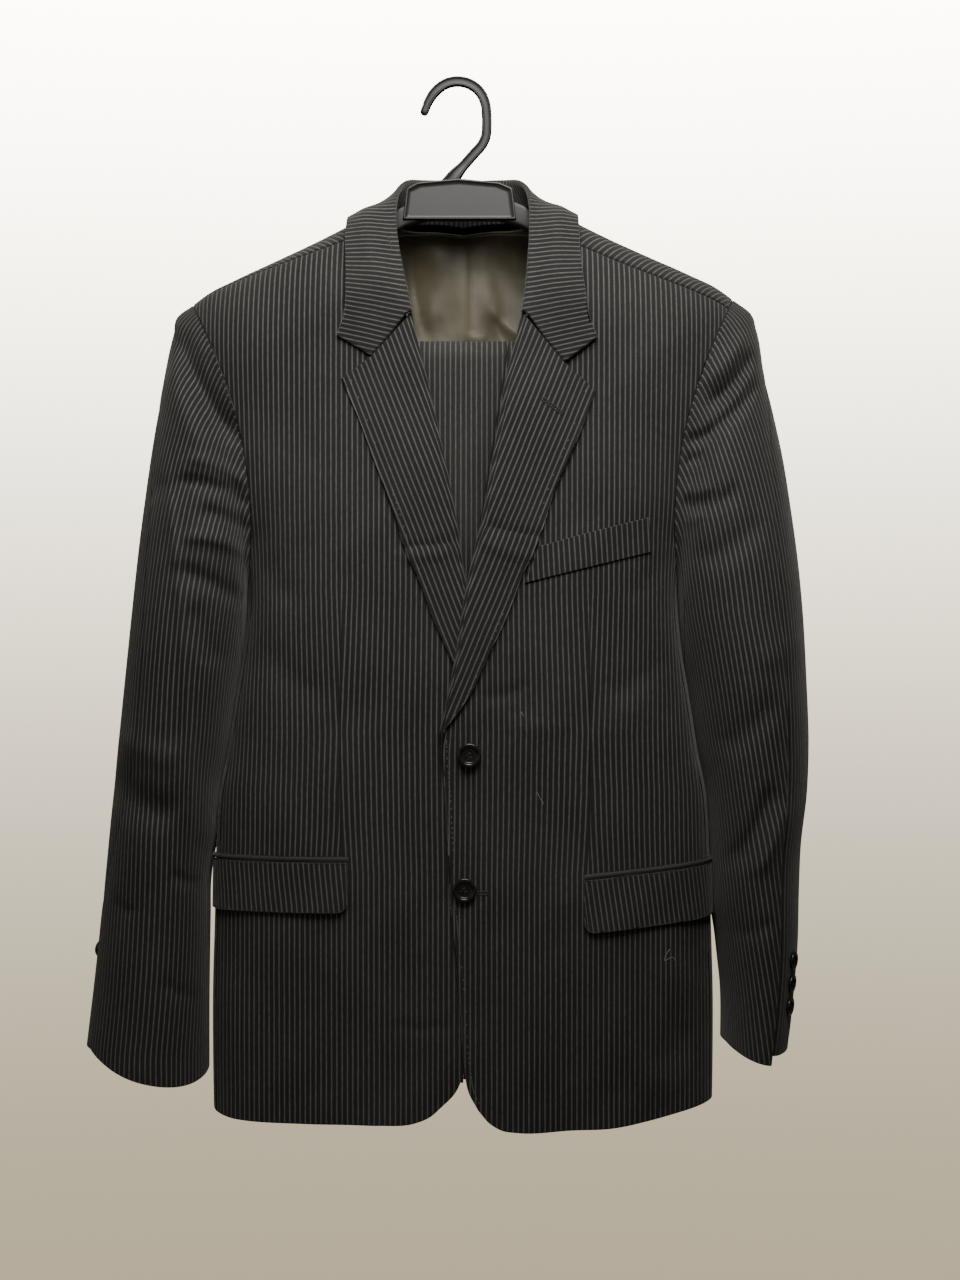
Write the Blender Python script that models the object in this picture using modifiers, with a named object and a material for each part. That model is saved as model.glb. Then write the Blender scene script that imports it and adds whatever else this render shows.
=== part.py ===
"""A two-button business suit on a moulded hanger: the jacket hangs closed, the trousers are folded over the bar.

Metres, +Z up. The front faces -Y and the wearer's left is +X. The origin is the inside top of the hanger's hook,
where a wall pin holds it. Every cloth panel is a patch on one form, the jacket's body or a sleeve, so that
neighbours meet at their seams, and what lies on a panel is made from the panel's points, moved out.
"""

import functools
import math

import bmesh
import bpy
import numpy as np

# ---- driving sizes -------------------------------------------------------------------------------------------
WALL = 0.002          # the jacket's cloth with its lining and canvas
SEAM_GAP = 0.0003     # between two pieces at a seam
NECK_GAP = 0.0015     # between the back's neck edge and the collar's stand
SLEEVE_GAP = 0.0012   # between the two pieces of a sleeve, whose seams turn round it
ARMHOLE_GAP = 0.0010  # between the body and a sleeve, whose walls meet at an angle
ROOF = 0.085          # radius that rounds the body over the shoulders
SQUARE = 3.0          # how square the body's section is: 2 is an ellipse
TILT = 0.010          # the jacket hangs a little lower on the wearer's right
LEFT, RIGHT = 1, -1   # the wearer's sides, as the sign of x
FACING = {LEFT: "left", RIGHT: "right"}

CLOTH_LIFT = 0.0006         # gap under a piece that lies on a panel
ROLL_ROOM = 0.0024          # the front's edge stays this far inside the lapel's roll,
GORGE_LOW = -0.2400         # and above this height up to twice as far
LAPEL_LIFT = {LEFT: 0.0019, RIGHT: 0.0006}
BUTTON_D, BUTTON_T = 0.020, 0.0045
CUFF_BUTTON_D, CUFF_BUTTON_T = 0.0150, 0.0035
CUFF_BUTTONS = 3

BAR_TOP, BAR_H, HANGER_T = -0.2340, 0.010, 0.012
LEG_T = 0.0040              # one leg pressed flat
FOLD_R = 0.0088             # inner radius of the legs' fold over the bar
FOLD_Z = -0.2393            # height of that fold's centre
ROD_R = 0.0044              # the hook


def table(names, rows):
    """Named columns from a list of rows."""
    return dict(zip(names.split(), np.array(rows, float).T))


# The jacket's body by height: half width, and depth of the front and the back from y = 0.
BODY = table("z half front back", [
    (-0.920, 0.2150, 0.060, 0.048),
    (-0.840, 0.2165, 0.062, 0.049),
    (-0.780, 0.2165, 0.064, 0.050),
    (-0.720, 0.2148, 0.066, 0.051),
    (-0.660, 0.2135, 0.067, 0.052),
    (-0.610, 0.2100, 0.068, 0.053),
    (-0.583, 0.2045, 0.069, 0.054),
    (-0.530, 0.1960, 0.070, 0.055),
    (-0.490, 0.1895, 0.071, 0.056),
    (-0.440, 0.1860, 0.072, 0.057),
    (-0.400, 0.1905, 0.072, 0.057),
    (-0.350, 0.2030, 0.072, 0.057),
    (-0.300, 0.2160, 0.071, 0.056),
    (-0.240, 0.2320, 0.070, 0.055),
    (-0.180, 0.2440, 0.069, 0.054),
    (-0.080, 0.2600, 0.068, 0.053),
])

# The ridge of the shoulders, by distance from the centre.
RIDGE = table("x z", [
    (0.000, -0.0850),
    (0.030, -0.0900),
    (0.060, -0.1015),
    (0.075, -0.1090),
    (0.095, -0.1195),
    (0.130, -0.1370),
    (0.162, -0.1515),
    (0.197, -0.1672),
    (0.222, -0.1795),
    (0.235, -0.1890),
    (0.260, -0.2080),
])

# The front edges, from the cutaway up past the break to the end of the gorge. The wearer's left front lies over.
FRONT_EDGE = {
    LEFT: table("x z", [
        (0.0134, -0.8783),
        (0.0053, -0.8638),
        (0.0016, -0.8432),
        (-0.0029, -0.7837),
        (-0.0098, -0.7167),
        (-0.0154, -0.6093),
        (-0.0179, -0.5776),
        (-0.0179, -0.5615),
        (-0.0114, -0.5294),
        (-0.0051, -0.4974),
        (0.0042, -0.4383),
        (0.0186, -0.3742),
        (0.0298, -0.3101),
        (0.0387, -0.2575),
        (0.0458, -0.2290),
        (0.0507, -0.2077),
    ]),
    RIGHT: table("x z", [
        (-0.0179, -0.8764),
        (-0.0058, -0.8641),
        (0.0010, -0.8480),
        (0.0080, -0.8000),
        (0.0150, -0.7300),
        (0.0180, -0.6400),
        (0.0180, -0.5776),
        (0.0175, -0.5615),
        (0.0130, -0.5150),
        (0.0080, -0.4760),
        (0.0025, -0.4384),
        (-0.0087, -0.3662),
        (-0.0199, -0.3102),
        (-0.0297, -0.2668),
        (-0.0391, -0.2276),
        (-0.0431, -0.2077),
    ]),
}

# The hem of each front, from the cutaway to the side.
HEM = {
    LEFT: table("x z", [
        (0.0134, -0.8783),
        (0.0229, -0.8895),
        (0.0341, -0.8960),
        (0.0454, -0.8976),
        (0.0935, -0.8960),
        (0.1258, -0.8949),
        (0.1588, -0.8896),
        (0.1840, -0.8840),
        (0.2150, -0.8770),
    ]),
    RIGHT: table("x z", [
        (-0.0179, -0.8764),
        (-0.0283, -0.8853),
        (-0.0402, -0.8899),
        (-0.0702, -0.8917),
        (-0.1001, -0.8914),
        (-0.1307, -0.8912),
        (-0.1838, -0.8910),
        (-0.1977, -0.8900),
        (-0.2150, -0.8870),
    ]),
}
HEM_BACK = {LEFT: -0.8800, RIGHT: -0.8860}

# How far each front stands out along the centre, where one lies over the other.
OVERLAP = table("z left right", [
    (-0.900, 0.0018, -0.0018),
    (-0.620, 0.0018, -0.0018),
    (-0.560, 0.0040, -0.0018),
    (-0.500, 0.0046, -0.0018),
    (-0.420, 0.0034, -0.0018),
    (-0.300, 0.0012, -0.0008),
    (-0.200, 0.0000, 0.0000),
])
OVERLAP_WIDTH = 0.075

# The lapels' outer edges, from the break to the corner, and their top edges, from the gorge's end to the corner.
LAPEL_EDGE = {
    LEFT: table("x z", [
        (-0.0175, -0.5600),
        (-0.0051, -0.5455),
        (0.0078, -0.5262),
        (0.0206, -0.4974),
        (0.0378, -0.4608),
        (0.0506, -0.4271),
        (0.0618, -0.4031),
        (0.0794, -0.3533),
        (0.0971, -0.3132),
        (0.1115, -0.2723),
    ]),
    RIGHT: table("x z", [
        (0.0160, -0.5500),
        (0.0020, -0.5250),
        (-0.0110, -0.4950),
        (-0.0246, -0.4652),
        (-0.0358, -0.4350),
        (-0.0486, -0.4062),
        (-0.0583, -0.3757),
        (-0.0727, -0.3357),
        (-0.0871, -0.2972),
        (-0.1018, -0.2629),
    ]),
}
NOTCH = {LEFT: (0.0852, -0.2494), RIGHT: (-0.0763, -0.2438)}

# The collar by station from the centre back (0) to the gorge (8). Seam and leaf edge lie on the body, at x and at
# their distance over the ridge; the fold is free.
COLLAR = table("at seam_x seam_over fold_x fold_y fold_z leaf_x leaf_over", [
    (0, 0.0000, -0.0820, 0.0000, 0.0400, -0.0775, 0.0000, -0.0930),
    (1, 0.0440, -0.0660, 0.0350, 0.0350, -0.0775, 0.0500, -0.0790),
    (2, 0.0660, -0.0400, 0.0500, 0.0200, -0.0810, 0.0800, -0.0450),
    (3, 0.0735, -0.0050, 0.0562, 0.0000, -0.0930, 0.0940, -0.0050),
    (4, 0.0740, 0.0340, 0.0580, -0.0240, -0.1130, 0.0970, 0.0500),
    (5, 0.0700, 0.0720, 0.0565, -0.0450, -0.1370, 0.0975, 0.0850),
    (6, 0.0630, 0.1040, 0.0535, -0.0610, -0.1630, 0.0990, 0.1090),
    (7, 0.0570, 0.1320, 0.0500, -0.0700, -0.1870, 0.1020, 0.1320),
    (8, 0.0510, 0.1590, 0.0465, -0.0750, -0.2085, 0.1088, 0.1495),
])
COLLAR_END = {LEFT: 0.0042, RIGHT: -0.0034}  # how far its front end lies outside the table on each side
NECK_POINT = 4                               # the station where the shoulder seam meets the collar

# The armhole: a loop on the body, by angle from its top (0) by the front (90) and the underarm (180).
ARMHOLE_TOP_X, ARMHOLE_LOW = 0.235, (0.1860, -0.4400)
ARMHOLE_BEND = 0.0235
SHOULDER_ANGLE, SIDE_ANGLE = 12.0, 145.0     # where the shoulder seam and the side seams meet the armhole
SIDE_SEAM_HEM = 0.90                         # where the side seams meet the hem, as a part of a quarter of the girth

# Each sleeve along its length w: heights of its outer and inner line, its depths, the bend that carries the
# armhole's curve on, and the angles of its hind and front seams.
SLEEVE = {
    LEFT: table("w z_out z_in front back bend hind inside", [
        (0.00, -0.1890, -0.4400, 0.050, 0.042, 0.0235, -66.5, 128.4),
        (0.04, -0.1970, -0.4470, 0.056, 0.047, 0.0210, -52.0, 131.0),
        (0.10, -0.2220, -0.4620, 0.064, 0.051, 0.0160, -25.0, 139.0),
        (0.18, -0.2650, -0.4870, 0.072, 0.054, 0.0090, 10.0, 155.0),
        (0.28, -0.3300, -0.5220, 0.077, 0.055, 0.0030, 36.0, 180.0),
        (0.40, -0.4150, -0.5700, 0.078, 0.055, 0.0000, 50.0, 202.0),
        (0.52, -0.5000, -0.6220, 0.078, 0.053, 0.0000, 55.0, 220.0),
        (0.64, -0.5850, -0.6760, 0.077, 0.051, 0.0000, 56.0, 225.0),
        (0.76, -0.6700, -0.7310, 0.076, 0.049, 0.0000, 56.0, 230.0),
        (0.88, -0.7500, -0.7800, 0.075, 0.047, 0.0000, 55.0, 232.0),
        (1.00, -0.8335, -0.8270, 0.074, 0.045, 0.0000, 54.0, 235.0),
    ]),
    RIGHT: table("w z_out z_in front back bend hind inside", [
        (0.00, -0.1915, -0.4400, 0.050, 0.042, 0.0235, -66.5, 128.4),
        (0.04, -0.1990, -0.4470, 0.056, 0.047, 0.0210, -52.0, 131.0),
        (0.10, -0.2240, -0.4620, 0.064, 0.051, 0.0160, -25.0, 139.0),
        (0.18, -0.2670, -0.4870, 0.072, 0.054, 0.0090, 10.0, 155.0),
        (0.28, -0.3300, -0.5220, 0.076, 0.054, 0.0030, 34.0, 180.0),
        (0.40, -0.4150, -0.5700, 0.076, 0.050, 0.0000, 50.0, 202.0),
        (0.52, -0.5000, -0.6220, 0.073, 0.044, 0.0000, 60.0, 220.0),
        (0.64, -0.5850, -0.6760, 0.068, 0.038, 0.0000, 56.0, 225.0),
        (0.76, -0.6700, -0.7310, 0.063, 0.032, 0.0000, 34.0, 226.0),
        (0.88, -0.7500, -0.7860, 0.059, 0.027, 0.0000, -4.0, 222.0),
        (1.00, -0.8325, -0.8420, 0.057, 0.023, 0.0000, -34.0, 216.0),
    ]),
}
SLEEVE_OUT = {
    LEFT: table("z x", [
        (-0.8340, 0.2807),
        (-0.8060, 0.2834),
        (-0.7710, 0.2871),
        (-0.7440, 0.2893),
        (-0.6910, 0.2908),
        (-0.6560, 0.2925),
        (-0.6080, 0.2980),
        (-0.5710, 0.2993),
        (-0.5180, 0.2976),
        (-0.4480, 0.2936),
        (-0.3985, 0.2885),
        (-0.3600, 0.2830),
        (-0.3206, 0.2767),
        (-0.2845, 0.2690),
        (-0.2490, 0.2610),
        (-0.2130, 0.2550),
        (-0.1970, 0.2490),
        (-0.1866, 0.2350),
    ]),
    RIGHT: table("z x", [
        (-0.8330, 0.3265),
        (-0.7790, 0.3200),
        (-0.7040, 0.3119),
        (-0.6250, 0.3039),
        (-0.5450, 0.2958),
        (-0.4730, 0.2883),
        (-0.4190, 0.2827),
        (-0.3690, 0.2766),
        (-0.3120, 0.2688),
        (-0.2645, 0.2609),
        (-0.2170, 0.2515),
        (-0.1990, 0.2460),
        (-0.1914, 0.2350),
    ]),
}
SLEEVE_IN = {
    LEFT: table("z x", [
        (-0.8420, 0.2240),
        (-0.7770, 0.2232),
        (-0.7590, 0.2212),
        (-0.7130, 0.2200),
        (-0.6620, 0.2200),
        (-0.6090, 0.2240),
        (-0.5830, 0.2190),
        (-0.5490, 0.2090),
        (-0.5120, 0.1990),
        (-0.4780, 0.1935),
        (-0.4470, 0.1893),
        (-0.4400, 0.1860),
    ]),
    RIGHT: table("z x", [
        (-0.8420, 0.2205),
        (-0.7950, 0.2205),
        (-0.7200, 0.2195),
        (-0.6680, 0.2215),
        (-0.6230, 0.2215),
        (-0.6050, 0.2165),
        (-0.5830, 0.2095),
        (-0.5300, 0.2015),
        (-0.4900, 0.1950),
        (-0.4650, 0.1915),
        (-0.4470, 0.1893),
        (-0.4400, 0.1860),
    ]),
}
CUFF_DROP = {LEFT: 0.012, RIGHT: 0.024}   # how much lower the cuff hangs in front
CUFF_DROP_AT = {LEFT: 70.0, RIGHT: 120.0}  # the angle where it is lowest
SLEEVE_RELEASE = 0.14                      # the part of a sleeve's length over which it leaves the body's form

# The largest folds: soft ridges (+) or troughs (-) from one point to another, seen from the front.
FOLDS = table("x0 z0 x1 z1 width height", [
    (0.2100, -0.7480, 0.1750, -0.8450, 0.016, -0.0050),
    (0.1900, -0.7600, 0.1550, -0.8600, 0.018, 0.0030),
    (-0.2350, -0.2450, -0.2000, -0.3050, 0.014, -0.0060),
    (-0.2620, -0.3500, -0.2080, -0.3600, 0.014, -0.0040),
    (0.2500, -0.2400, 0.2050, -0.3050, 0.014, -0.0060),
    (0.2780, -0.3600, 0.2120, -0.3500, 0.014, -0.0040),
    (-0.3000, -0.6000, -0.2450, -0.6300, 0.018, -0.0050),
    (0.2950, -0.6200, 0.2400, -0.5850, 0.018, -0.0050),
])

# The pockets: each flap's top at its front end, its drop toward the side, its height and its reach round the side.
POCKET = {
    LEFT: dict(x=0.1020, z=-0.6840, rise=0.0125, height=0.0455, jetting=0.0050, reach=0.985),
    RIGHT: dict(x=0.0960, z=-0.6690, rise=0.0000, height=0.0430, jetting=0.0050, reach=0.985),
}
POCKET_PIECE_T = 0.0018
POCKET_COLUMNS = 13
WELT = table("x z", [(0.0520, -0.4345), (0.1593, -0.4077), (0.1567, -0.3781), (0.0640, -0.4035)])
WELT_T = 0.0011
BUTTONS = table("x z", [(0.0059, -0.5784), (0.0018, -0.6918)])
CUFF_BUTTON_TOP, CUFF_BUTTON_PITCH = -0.7520, 0.0195   # the first cuff button's height, and the step to the next
CUFF_SEAT = {LEFT: -0.0003, RIGHT: 0.0001}     # from the form to the back of a button, which lies on the facets
CUFF_BUTTON_TURN = {LEFT: -9.0, RIGHT: -14.0}  # degrees behind the hind seam

LINING = dict(half=0.125, top=-0.1290, low=-0.4200, under_ridge=0.024, thick=0.0010, gap=0.0040)

# The trousers along their length from the cuffs in front, over the bar, to the waist behind.
TROUSERS = table("s half", [
    (0.000, 0.1000),
    (0.250, 0.1080),
    (0.480, 0.1130),
    (0.520, 0.1140),
    (0.750, 0.1300),
    (0.920, 0.1350),
    (1.000, 0.1150),
])
TROUSERS_X = -0.004
FRONT_DROP, BACK_DROP = 0.485, 0.455   # how far the legs hang below the fold's centre
WAISTBAND = dict(half=0.113, height=0.038, thick=0.0105)

PLATE = dict(left=-0.0490, right=0.0430, top=-0.0820, corner=-0.0905, low=-0.1172)
ARM_REACH, ARM_DROP, ARM_TIP_DROP = 0.206, 0.0067, 0.014
POST_X, POST_W = 0.190, 0.012

CHARCOAL = (0.028, 0.028, 0.031)
OLIVE = (0.150, 0.125, 0.075)
BLACK = (0.012, 0.012, 0.013)
PLASTIC = (0.060, 0.058, 0.055)


# ---- curves and forms ----------------------------------------------------------------------------------------
def curve(xs, ys, x):
    """A smooth curve through the points (xs, ys): cubic Hermite pieces whose slopes are the central differences."""
    slope = np.gradient(ys, xs)
    x = np.clip(x, xs[0], xs[-1])
    i = np.clip(np.searchsorted(xs, x, side="right") - 1, 0, len(xs) - 2)
    h = xs[i + 1] - xs[i]
    t = (x - xs[i]) / h
    a = (1 + 2 * t) * (1 - t) ** 2 * ys[i] + t * t * (3 - 2 * t) * ys[i + 1]
    return a + h * (t * (1 - t) ** 2 * slope[i] - t * t * (1 - t) * slope[i + 1])


def column(rows, name, x, key="z"):
    return curve(rows[key], rows[name], np.asarray(x, float))


def smooth(t):
    """0 up to t = 0, 1 from t = 1, and an even S between."""
    t = np.clip(t, 0.0, 1.0)
    return t * t * (3 - 2 * t)


def resample(points, count):
    """That many points at even steps along a polyline, ends included."""
    steps = np.linalg.norm(np.diff(points, axis=0), axis=1)
    run = np.concatenate([[0.0], np.cumsum(steps)])
    at = np.linspace(0.0, run[-1], count)
    return np.stack([np.interp(at, run, points[:, k]) for k in range(points.shape[1])], axis=1)


def smooth_line(rows, count):
    """That many points at even steps along a smooth curve through a table's x and z."""
    knots = np.stack([rows["x"], rows["z"]], axis=1)
    run = np.concatenate([[0.0], np.cumsum(np.linalg.norm(np.diff(knots, axis=0), axis=1))])
    fine = np.linspace(0.0, run[-1], 400)
    line = np.stack([curve(run, knots[:, k], fine) for k in (0, 1)], axis=1)
    return resample(line, count)


def patch(bottom, top, left, right):
    """A Coons patch: rows from bottom to top, columns from left to right, through four edge lines."""
    u = np.linspace(0, 1, len(bottom))[None, :, None]
    v = np.linspace(0, 1, len(left))[:, None, None]
    ruled = (1 - v) * bottom[None] + v * top[None] + (1 - u) * left[:, None] + u * right[:, None]
    corners = (1 - u) * ((1 - v) * bottom[0] + v * top[0]) + u * ((1 - v) * bottom[-1] + v * top[-1])
    return ruled - corners


def ridge(x):
    return column(RIDGE, "z", np.abs(x), "x") + TILT * x


def over_of(x, z, facing):
    """The distance over the ridge, + in front and - behind, of the body's point at x and z."""
    drop = np.maximum(ridge(x) - z, 0.0)
    turned = ROOF * np.arccos(np.clip(1 - drop / ROOF, 0.0, 1.0))
    return facing * (turned + np.maximum(drop - ROOF, 0.0))


def body(x, over):
    """The jacket's body at x, so far over the ridge: a squared section, rounded over at the shoulders."""
    turn = np.clip(np.abs(over) / ROOF, 0, math.pi / 2)
    drop = ROOF * (1 - np.cos(turn)) + np.maximum(np.abs(over) - ROOF * math.pi / 2, 0)
    z = ridge(x) - drop
    depth = np.where(over > 0, column(BODY, "front", z), column(BODY, "back", z))
    inside = np.clip(np.abs(x) / column(BODY, "half", z), 0, 1)
    y = -np.sign(over) * depth * (1 - inside**SQUARE) ** (1 / SQUARE) * np.sin(turn)
    return np.stack([x + 0 * z, y, z], axis=-1)


def quarter():
    """A quarter of the body's section at unit size, and the part of its length at each point."""
    t = np.linspace(0, math.pi / 2, 600)
    x, y = np.sin(t) ** (2 / SQUARE), np.cos(t) ** (2 / SQUARE)
    steps = np.hypot(np.diff(x) * 0.21, np.diff(y) * 0.062)
    run = np.concatenate([[0.0], np.cumsum(steps)])
    return x, y, run / run[-1]


UNIT_X, UNIT_Y, UNIT_RUN = quarter()


def girth_of(x, z):
    """The part of a quarter of the girth, from the centre, at x and z."""
    return np.interp(np.abs(x) / column(BODY, "half", z), UNIT_X, UNIT_RUN)


def around(side, part, z):
    """The body by part of a quarter of the girth: 0 at the centre front, 1 at the side, 2 at the centre back."""
    quarter_part = 1 - np.abs(1 - part)
    x = side * column(BODY, "half", z) * np.interp(quarter_part, UNIT_RUN, UNIT_X)
    depth = np.where(part < 1, -column(BODY, "front", z), column(BODY, "back", z))
    y = depth * np.interp(quarter_part, UNIT_RUN, UNIT_Y)
    return np.stack([x, y, z + 0 * x], axis=-1)


def side_form(side, part, z):
    return folded(around(side, part, z))


def armhole(side, angle):
    """x, z and the distance over the ridge of the armhole's loop."""
    c, s = np.cos(np.radians(angle)), np.sin(np.radians(angle))
    top = np.array([side * ARMHOLE_TOP_X, ridge(side * ARMHOLE_TOP_X)])
    low = np.array([side * ARMHOLE_LOW[0], ARMHOLE_LOW[1]])
    x = (top[0] + low[0]) / 2 + (top[0] - low[0]) / 2 * c - side * ARMHOLE_BEND * s * s
    z = (top[1] + low[1]) / 2 + (top[1] - low[1]) / 2 * c
    return x, z, over_of(x, z, np.where(s >= 0, 1, -1))


def folded(points):
    """The points with the largest folds: each moves them along y by a bell across its line, faded at its ends."""
    out = points.copy()
    x, z = points[..., 0], points[..., 2]
    for x0, z0, x1, z1, width, height in zip(*FOLDS.values()):
        run = np.array([x1 - x0, z1 - z0])
        length = np.hypot(*run)
        along = ((x - x0) * run[0] + (z - z0) * run[1]) / length**2
        across = ((x - x0) * run[1] - (z - z0) * run[0]) / length
        bell = np.exp(-((across / width) ** 2)) * smooth(along * 3 + 0.5) * smooth((1 - along) * 3 + 0.5)
        out[..., 1] -= height * bell * smooth(-points[..., 1] / 0.03)
    return out


def front_form(side, x, over):
    """The outer face of a front, lifted or lowered along the centre where the fronts overlap."""
    points = body(x, over)
    near = smooth((OVERLAP_WIDTH - side * x) / OVERLAP_WIDTH)
    points[..., 1] -= near * column(OVERLAP, FACING[side], points[..., 2])
    return folded(points)


def normal_of(form, a, b, turn, step=0.0004):
    """A form's outward unit normal at its two parameters. turn is the sign that makes the cross product point out."""
    across = form(a + step, b) - form(a - step, b)
    along = form(a, b + step) - form(a, b - step)
    normal = np.cross(across, along) * turn
    return normal / np.linalg.norm(normal, axis=-1, keepdims=True)


def moved_out(form, x, over, lift):
    """Points of the body's form moved out along its normal."""
    return form(x, over) + lift * normal_of(form, x, over, -1)


def sleeve(side, angle, w):
    """A sleeve at an angle round it (0 outside, 90 in front, 180 inside) and a part w of its length."""
    rows = SLEEVE[side]
    c, s = np.cos(np.radians(angle)), np.sin(np.radians(angle))
    z_out, z_in = (column(rows, name, w, "w") for name in ("z_out", "z_in"))
    x_out, x_in = column(SLEEVE_OUT[side], "x", z_out), column(SLEEVE_IN[side], "x", z_in)
    depth = np.where(s > 0, column(rows, "front", w, "w"), column(rows, "back", w, "w"))
    x = (x_out + x_in) / 2 + (x_out - x_in) / 2 * c - column(rows, "bend", w, "w") * s * s
    drop = CUFF_DROP[side] * smooth((w - 0.75) / 0.25)
    low = np.maximum(np.cos(np.radians(angle - CUFF_DROP_AT[side])), 0)
    z = (z_out + z_in) / 2 + (z_out - z_in) / 2 * c - drop * low
    tube = np.stack([side * x, -depth * s, z], axis=-1)
    loop_x, _, loop_over = armhole(side, angle)
    loop = body(loop_x, loop_over)
    free = smooth(w / SLEEVE_RELEASE)[..., None]
    start = np.clip(1 - w / 0.02, 0, 1)[..., None]
    tube[..., 1:2] = tube[..., 1:2] * free + loop[..., 1:2] * (1 - free)
    return folded(tube * (1 - start) + loop * start)


# ---- making objects ------------------------------------------------------------------------------------------
def material(name, colour, roughness, metallic=0.0):
    made = bpy.data.materials.new(name)
    made.use_nodes = True
    shader = made.node_tree.nodes["Principled BSDF"]
    shader.inputs["Base Color"].default_value = (*colour, 1.0)
    shader.inputs["Roughness"].default_value = roughness
    shader.inputs["Metallic"].default_value = metallic
    return made


def add(name, mesh, look):
    made = bpy.data.objects.new(name, mesh)
    mesh.materials.append(look)
    bpy.data.collections["business_suit"].objects.link(made)
    return made


def drawn_in(points, gaps):
    """A grid of points with its four edges (bottom, top, left, right) drawn in by these gaps."""
    out = points.copy()
    edges = ((0, 1), (-1, -2))
    for (edge, inner), gap in zip(edges, gaps[:2]):
        run = out[inner] - out[edge]
        out[edge] += gap * run / np.linalg.norm(run, axis=-1, keepdims=True)
    for (edge, inner), gap in zip(edges, gaps[2:]):
        run = out[:, inner] - out[:, edge]
        out[:, edge] += gap * run / np.linalg.norm(run, axis=-1, keepdims=True)
    return out


def grid_triangles(points, turned):
    """A grid's triangles: each square is split along the diagonal that stands out, for both faces of a wall."""
    rows, columns = points.shape[:2]
    index = np.arange(rows * columns).reshape(rows, columns)
    a, b, c, d = index[:-1, :-1], index[:-1, 1:], index[1:, 1:], index[1:, :-1]
    at = points.reshape(-1, 3)
    outward = np.cross(at[c] - at[a], at[d] - at[b]) * (-1 if turned else 1)
    stands_out = ((at[a] + at[c] - at[b] - at[d]) * outward).sum(axis=-1, keepdims=True) >= 0
    split = np.where(stands_out, np.stack([a, b, c, a, c, d], axis=-1), np.stack([a, b, d, b, c, d], axis=-1))
    split = split.reshape(-1, 3)
    return split[:, ::-1] if turned else split


def panel(name, outer, normal, look, turned=False):
    """A seamed piece: its outer face, and an inner face along the form's normals, so that neighbours part evenly."""
    rows, columns = outer.shape[:2]
    index = np.arange(rows * columns).reshape(rows, columns)
    face = grid_triangles(outer, turned)
    rim = np.concatenate([index[0], index[1:, -1], index[-1, -2::-1], index[-2:0:-1, 0]])
    after = np.roll(rim, -1)
    inner_rim, inner_after = rim + rows * columns, after + rows * columns
    edge = np.stack([after, rim, inner_rim, after, inner_rim, inner_after], axis=-1).reshape(-1, 3)
    edge = edge[:, ::-1] if turned else edge
    triangles = np.concatenate([face, face[:, ::-1] + rows * columns, edge])
    mesh = bpy.data.meshes.new(name)
    both = np.concatenate([outer.reshape(-1, 3), (outer - WALL * normal).reshape(-1, 3)])
    mesh.from_pydata(both.tolist(), [], triangles.tolist())
    mesh.shade_smooth()
    mesh.set_sharp_from_angle(angle=math.radians(50))
    return add(name, mesh, look)


def sheet(name, points, look, thick=WALL, turned=False):
    """A cloth piece: the grid of its outer face, thickened inward. turned reverses which side is outer."""
    mesh = bpy.data.meshes.new(name)
    mesh.from_pydata(points.reshape(-1, 3).tolist(), [], grid_triangles(points, turned).tolist())
    mesh.shade_smooth()
    made = add(name, mesh, look)
    wall = made.modifiers.new("wall", "SOLIDIFY")
    wall.thickness = thick
    wall.offset = -1.0
    return made


# ---- the jacket's panels -------------------------------------------------------------------------------------
FRONT_COLUMNS, BACK_HALF_COLUMNS, SIDE_COLUMNS = 10, 4, 4
SIDE_ROWS, ARMHOLE_ROWS = 14, 8
FRONT_ANGLES = np.linspace(SIDE_ANGLE, SHOULDER_ANGLE, ARMHOLE_ROWS + 1)
BACK_ANGLES = np.linspace(-SIDE_ANGLE, SHOULDER_ANGLE, ARMHOLE_ROWS + 1)
UNDER_ANGLES = np.linspace(SIDE_ANGLE, 360 - SIDE_ANGLE, SIDE_COLUMNS + 1)


def as_plane(x, z, facing):
    """Points as (x, distance over the ridge), the plane that the body's patches are laid out in."""
    return np.stack([x, over_of(x, z, facing)], axis=-1)


def side_seam(side, facing):
    """The seam from the hem to the armhole, in front (1) or behind (-1) of the side, as girth part and height."""
    x, z, _ = armhole(side, facing * SIDE_ANGLE)
    part = np.linspace(SIDE_SEAM_HEM, girth_of(x, z), SIDE_ROWS + 1)
    low = hem_height(side, SIDE_SEAM_HEM, facing)
    return part, np.linspace(low, float(z), SIDE_ROWS + 1)


def hem_height(side, part, facing):
    if facing < 0:
        return HEM_BACK[side]
    x = column(BODY, "half", -0.88) * np.interp(part, UNIT_RUN, UNIT_X)
    return float(curve(np.abs(HEM[side]["x"]), HEM[side]["z"], x))


def outer_edge(side, facing, angles):
    """A panel's outer edge: up the side seam, then up the armhole."""
    part, z = side_seam(side, facing)
    x = side * column(BODY, "half", z) * np.interp(part, UNIT_RUN, UNIT_X)
    seam = as_plane(x, z, facing)
    hole_x, _, hole_over = armhole(side, angles)
    hole = np.stack([hole_x, hole_over], axis=-1)
    return np.concatenate([seam[:-1], hole])


def collar_line(side, which, stations):
    """The collar's seam or leaf edge on the body, as (x, distance over the ridge), at these stations."""
    x = column(COLLAR, which + "_x", stations, "at") + end_shift(side, stations)
    return np.stack([side * x, column(COLLAR, which + "_over", stations, "at")], axis=-1)


def end_shift(side, stations):
    return COLLAR_END[side] * smooth((np.asarray(stations, float) - NECK_POINT) / 4)


def shoulder_seam(side, count):
    """From the neck point to the armhole, in the plane of the patches."""
    neck = collar_line(side, "seam", np.array([float(NECK_POINT)]))[0]
    x, _, over = armhole(side, SHOULDER_ANGLE)
    return np.linspace(neck, (float(x), float(over)), count)


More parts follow.
